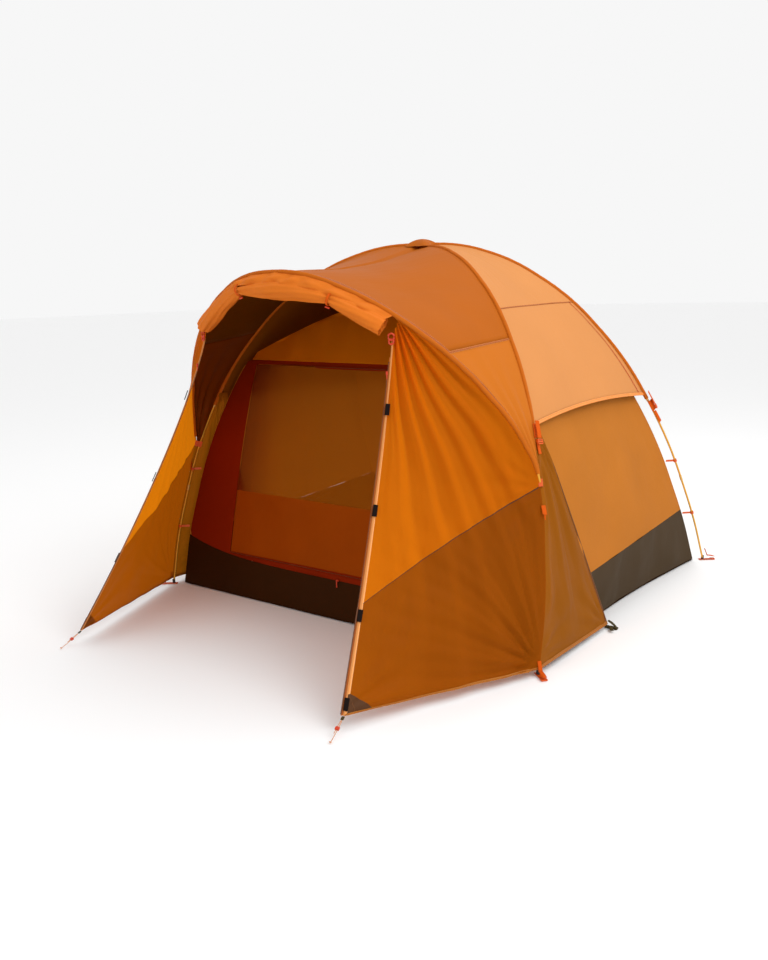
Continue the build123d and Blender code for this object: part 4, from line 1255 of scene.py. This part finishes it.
def webbing(name, colour):
    """Woven strap: ribs across it and along it, in uneven tones."""
    material, tree, out = fresh_material(name)
    place = object_place(tree)
    weave_x = ribs(tree, place, "X", 90.0)
    weave_y = ribs(tree, place, "Y", 90.0)
    worn = cloudy(tree, place, 40.0)
    threads = weave_x * 0.3 + weave_y * 0.3 + worn * 0.4
    plain_skin(tree, out, Base_Color=tint(tree, threads, *darker_and_lighter(colour, 0.7, 1.0)),
               Roughness=worn * 0.2 + 0.6, Specular_IOR_Level=0.1,
               Normal=bumped(tree, weave_x + weave_y, 0.5, 0.0008))
    return material


GOLD = anodised("pole_gold", (0.83, 0.42, 0.045), 0.28)
SILVER = anodised("ferrule_gold", (0.78, 0.46, 0.12), 0.2)
ORANGE_PLASTIC = moulded("orange_plastic", (0.70, 0.095, 0.004))
BLACK_PLASTIC = moulded("black_plastic", (0.012, 0.011, 0.010), 0.45)
RED_PLASTIC = moulded("red_plastic", (0.60, 0.040, 0.003), 0.5)
ORANGE_WEBBING = webbing("orange_webbing", (0.74, 0.105, 0.003))
OLIVE_WEBBING = webbing("olive_webbing", (0.075, 0.055, 0.020))
HOOK_BLACK = webbing("hook_and_loop", (0.008, 0.003, 0.002))

FINISHES = {
    GOLD: ["main_pole_a", "main_pole_b", "hoop_pole"],
    SILVER: ["pole_ferrules"],
    BLACK_PLASTIC: ["pole_tips"],
    ORANGE_PLASTIC: ["hoop_sockets", "pole_clips"]
    + [f"{kind}_lock_{end}_{side}" for kind in ("ladder", "tension") for end in ("front", "rear")
       for side in ("left", "right")],
    RED_PLASTIC: ["roll_toggle_left", "roll_toggle_right", "line_lock_left", "line_lock_right", "sill_slider",
                  "sill_pull", "zip_slider_left", "zip_slider_right"],
    ORANGE_WEBBING: ["roll_ties", "corner_straps", "tension_straps"],
    OLIVE_WEBBING: ["side_stake_loops", "corner_loops"],
    HOOK_BLACK: ["hook_tabs"],
}
for finish, names in FINISHES.items():
    for node_name in names:
        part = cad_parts[node_name]
        for slot in part.material_slots:
            slot.material = finish
print("hard parts finished:", sum(map(len, FINISHES.values())))

# %% [markdown]
# ## Loose ends of webbing
# Every buckle has a tail of strap that is left over. A tail is a strip 20 mm wide that curls as it
# falls. The line it follows is a short curve, and its end is held a little higher off the ground.

# %% Strap tails
STRAP_THICKNESS = 0.0018


def tail(name, start, way, level, length, curl, width=0.018, material=None):
    """A strap's tail from start; level is the direction across it."""
    way, level = Vector(way).normalized(), Vector(level).normalized()

    def point(u, v):
        bend = curl * v**1.5
        place = start + way * length * v * (1 - 0.15 * v) + Vector((0, 0, -1)) * length * bend
        twist = 0.25 * v * math.sin(4 * v)
        across = (level + Vector((0, 0, twist))).normalized()
        end_fold = 0.0025 if v > 0.9 else 0.0
        floor = max(place.z, 0.003 + end_fold)
        return Vector((place.x, place.y, floor)) + across * width * (u - 0.5)

    made = panel(name, point, 4, 24, material or ORANGE_WEBBING)[0]
    skin = made.modifiers.new("thickness", "SOLIDIFY")
    skin.thickness = STRAP_THICKNESS


for side, name in SIDES:
    for end, end_name in ENDS:
        out_way = Vector((side, end * 0.8, 0)).normalized()
        across = Vector((-out_way.y, out_way.x, 0))
        foot = leg(side, end, 1.0)
        tail(f"corner_tail_{end_name}_{name}", foot + out_way * 0.030 + Vector((0, 0, 0.016)), out_way,
             across, 0.052, 0.15)
        tail(f"corner_loop_{end_name}_{name}", foot + out_way * 0.012 + Vector((0, 0, 0.060)),
             out_way * 0.4 + Vector((0, 0, -1)), across, 0.058, 0.0)
        along = (leg(side, end, 0.70) - leg(side, end, 0.68)).normalized()
        cover = Vector((side * 0.93, -0.30, 0))
        face = (cover - along * cover.dot(along)).normalized()
        across_strap = along.cross(face)
        start = leg(side, end, SLEEVE_FOOT) + face * 0.014 + along * (0.045 if end == REAR else 0.0)
        tail(f"tension_tail_{end_name}_{name}", start + along * 0.040, along + face * 0.12, across_strap,
             0.075, 0.1)
        tail(f"tension_cuff_{end_name}_{name}", start - along * 0.030 + face * 0.002, along, across_strap,
             0.075, 0.0, width=0.034)
    out = Vector((side * 0.75, -0.66, 0))
    spot = ridge(side, 0.765) + out * 0.006
    for number, (drop, size) in enumerate(((0.0, 0.050), (0.022, 0.042), (0.040, 0.036))):
        tail(f"ridge_tie_{number}_{name}", spot - Vector((0, 0, drop)), out * (0.5 - 0.3 * number) -
             Vector((0, 0, 0.8)), (0.66, 0.75 * side, 0.3 * number), size, 0.2 * number, width=0.020)
    stake = mirrored(side, (1.229, -0.347, 0.010))
    tail(f"stake_tail_{name}", stake + Vector((0, -0.012, 0.006)), (side * 0.5, -0.8, 0),
         (0.8, side * 0.5, 0), 0.060, 0.1, material=OLIVE_WEBBING)
    tail(f"stake_knot_{name}", stake + Vector((-side * 0.020, 0.006, 0.026)), (side, 0.1, -0.3), (0, 1, 0),
         0.050, 0.3, material=OLIVE_WEBBING)


def ring_of(centre, normal, radius, count=28):
    first, second = ring_frame(Vector(normal).normalized(), Vector((0, 0, 1)))
    turns = [2 * math.pi * i / count for i in range(count + 1)]
    return [centre + (first * math.cos(turn) + second * math.sin(turn)) * radius for turn in turns]


for side, name in SIDES:
    place = hoop(side * PORCH_TOP) + Vector((side * 0.004, -0.030, -0.092))
    for number, (radius, drop) in enumerate(((0.014, 0.0), (0.011, 0.021))):
        ring = ring_of(place - Vector((0, 0, drop)), (0.3 * side, -1, 0.2 * number), radius)
        tube_mesh(f"roll_end_loop_{number}_{name}", ring, 0.0042, RED_PLASTIC,
                  lambda p: Vector((0, 0, 1)), sides=8)

# %% [markdown]
# ## Guy cords
# Each porch corner is held by a doubled cord. It is one cord: from its free end behind the line
# lock it runs up round the corner's loop, back through the lock and down to its stake point. The
# spline has those few points and no more, so that it bends as cord does.

# %% Cords
CORD_DIAMETER = 0.003
RIGHT_CORD = ((0.846, -2.0145, 0.0226), (0.8366, -1.9609, 0.0524), (0.8435, -1.9599, 0.0523),
              (0.8529, -2.0132, 0.0226), (0.8574, -2.0472, 0.0039))
LEFT_CORD = ((-0.8529, -2.0132, 0.0226), (-0.8435, -1.9597, 0.0524), (-0.8366, -1.9611, 0.0523),
             (-0.8460, -2.0145, 0.0226), (-0.8534, -2.0479, 0.0039))


def braid(name, light, dark):
    material, tree, out = fresh_material(name)
    place = object_place(tree)
    strands = ribs(tree, place, "DIAGONAL", 260.0)
    plain_skin(tree, out, Base_Color=tint(tree, strands, dark, light), Roughness=strands * 0.2 + 0.6,
               Normal=bumped(tree, strands, 0.6, 0.0006))
    return material


CORD = braid("guy_cord", (0.80, 0.42, 0.22), (0.55, 0.20, 0.08))


CORNER_CUT = 0.96           # the smooth curve is this much shorter than the runs between its points


def spline_length(points):
    return CORNER_CUT * sum((Vector(b) - Vector(a)).length for a, b in zip(points, points[1:]))


def cord_object(name, points):
    data = bpy.data.curves.new(name, "CURVE")
    data.dimensions = "3D"
    data.bevel_depth = CORD_DIAMETER / 2
    data.bevel_resolution = 3
    data.resolution_u = 16
    data.use_fill_caps = True
    spline = data.splines.new("NURBS")
    spline.points.add(len(points) - 1)
    for spot, place in zip(spline.points, points):
        spot.co = (*place, 1)
    spline.order_u = 3
    spline.use_endpoint_u = True
    made = bpy.data.objects.new(name, data)
    bpy.context.scene.collection.objects.link(made)
    made.data.materials.append(CORD)
    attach(made, "tent")
    return made


for name, route in (("right", RIGHT_CORD), ("left", LEFT_CORD)):
    cord = cord_object(f"guy_line_{name}", route)
    knot_at = Vector(route[-1]) + Vector((0, -0.003, 0.0015))
    knot_ring = ring_of(knot_at, (0.2, 0.3, 1), 0.0035)
    knot = tube_mesh(f"guy_knot_{name}", knot_ring, 0.0018, CORD, lambda p: Vector((0, 0, 1)),
                     sides=8)
    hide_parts(f"guy_cord_{name}")
    round(spline_length(route), 3)
    print("guy line", name, round(spline_length(route), 3), "m")

# %% [markdown]
# How far the cloth stands proud of the frame, on the high side, is printed. The cloth may
# stand a little proud of the frame, but no more.

# %% Boxes
visual_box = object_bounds()
grown = [round(1000 * (b - a), 1) for a, b in zip(cad_box[1], visual_box[1])]
print("grown by", grown, "mm on the high side")
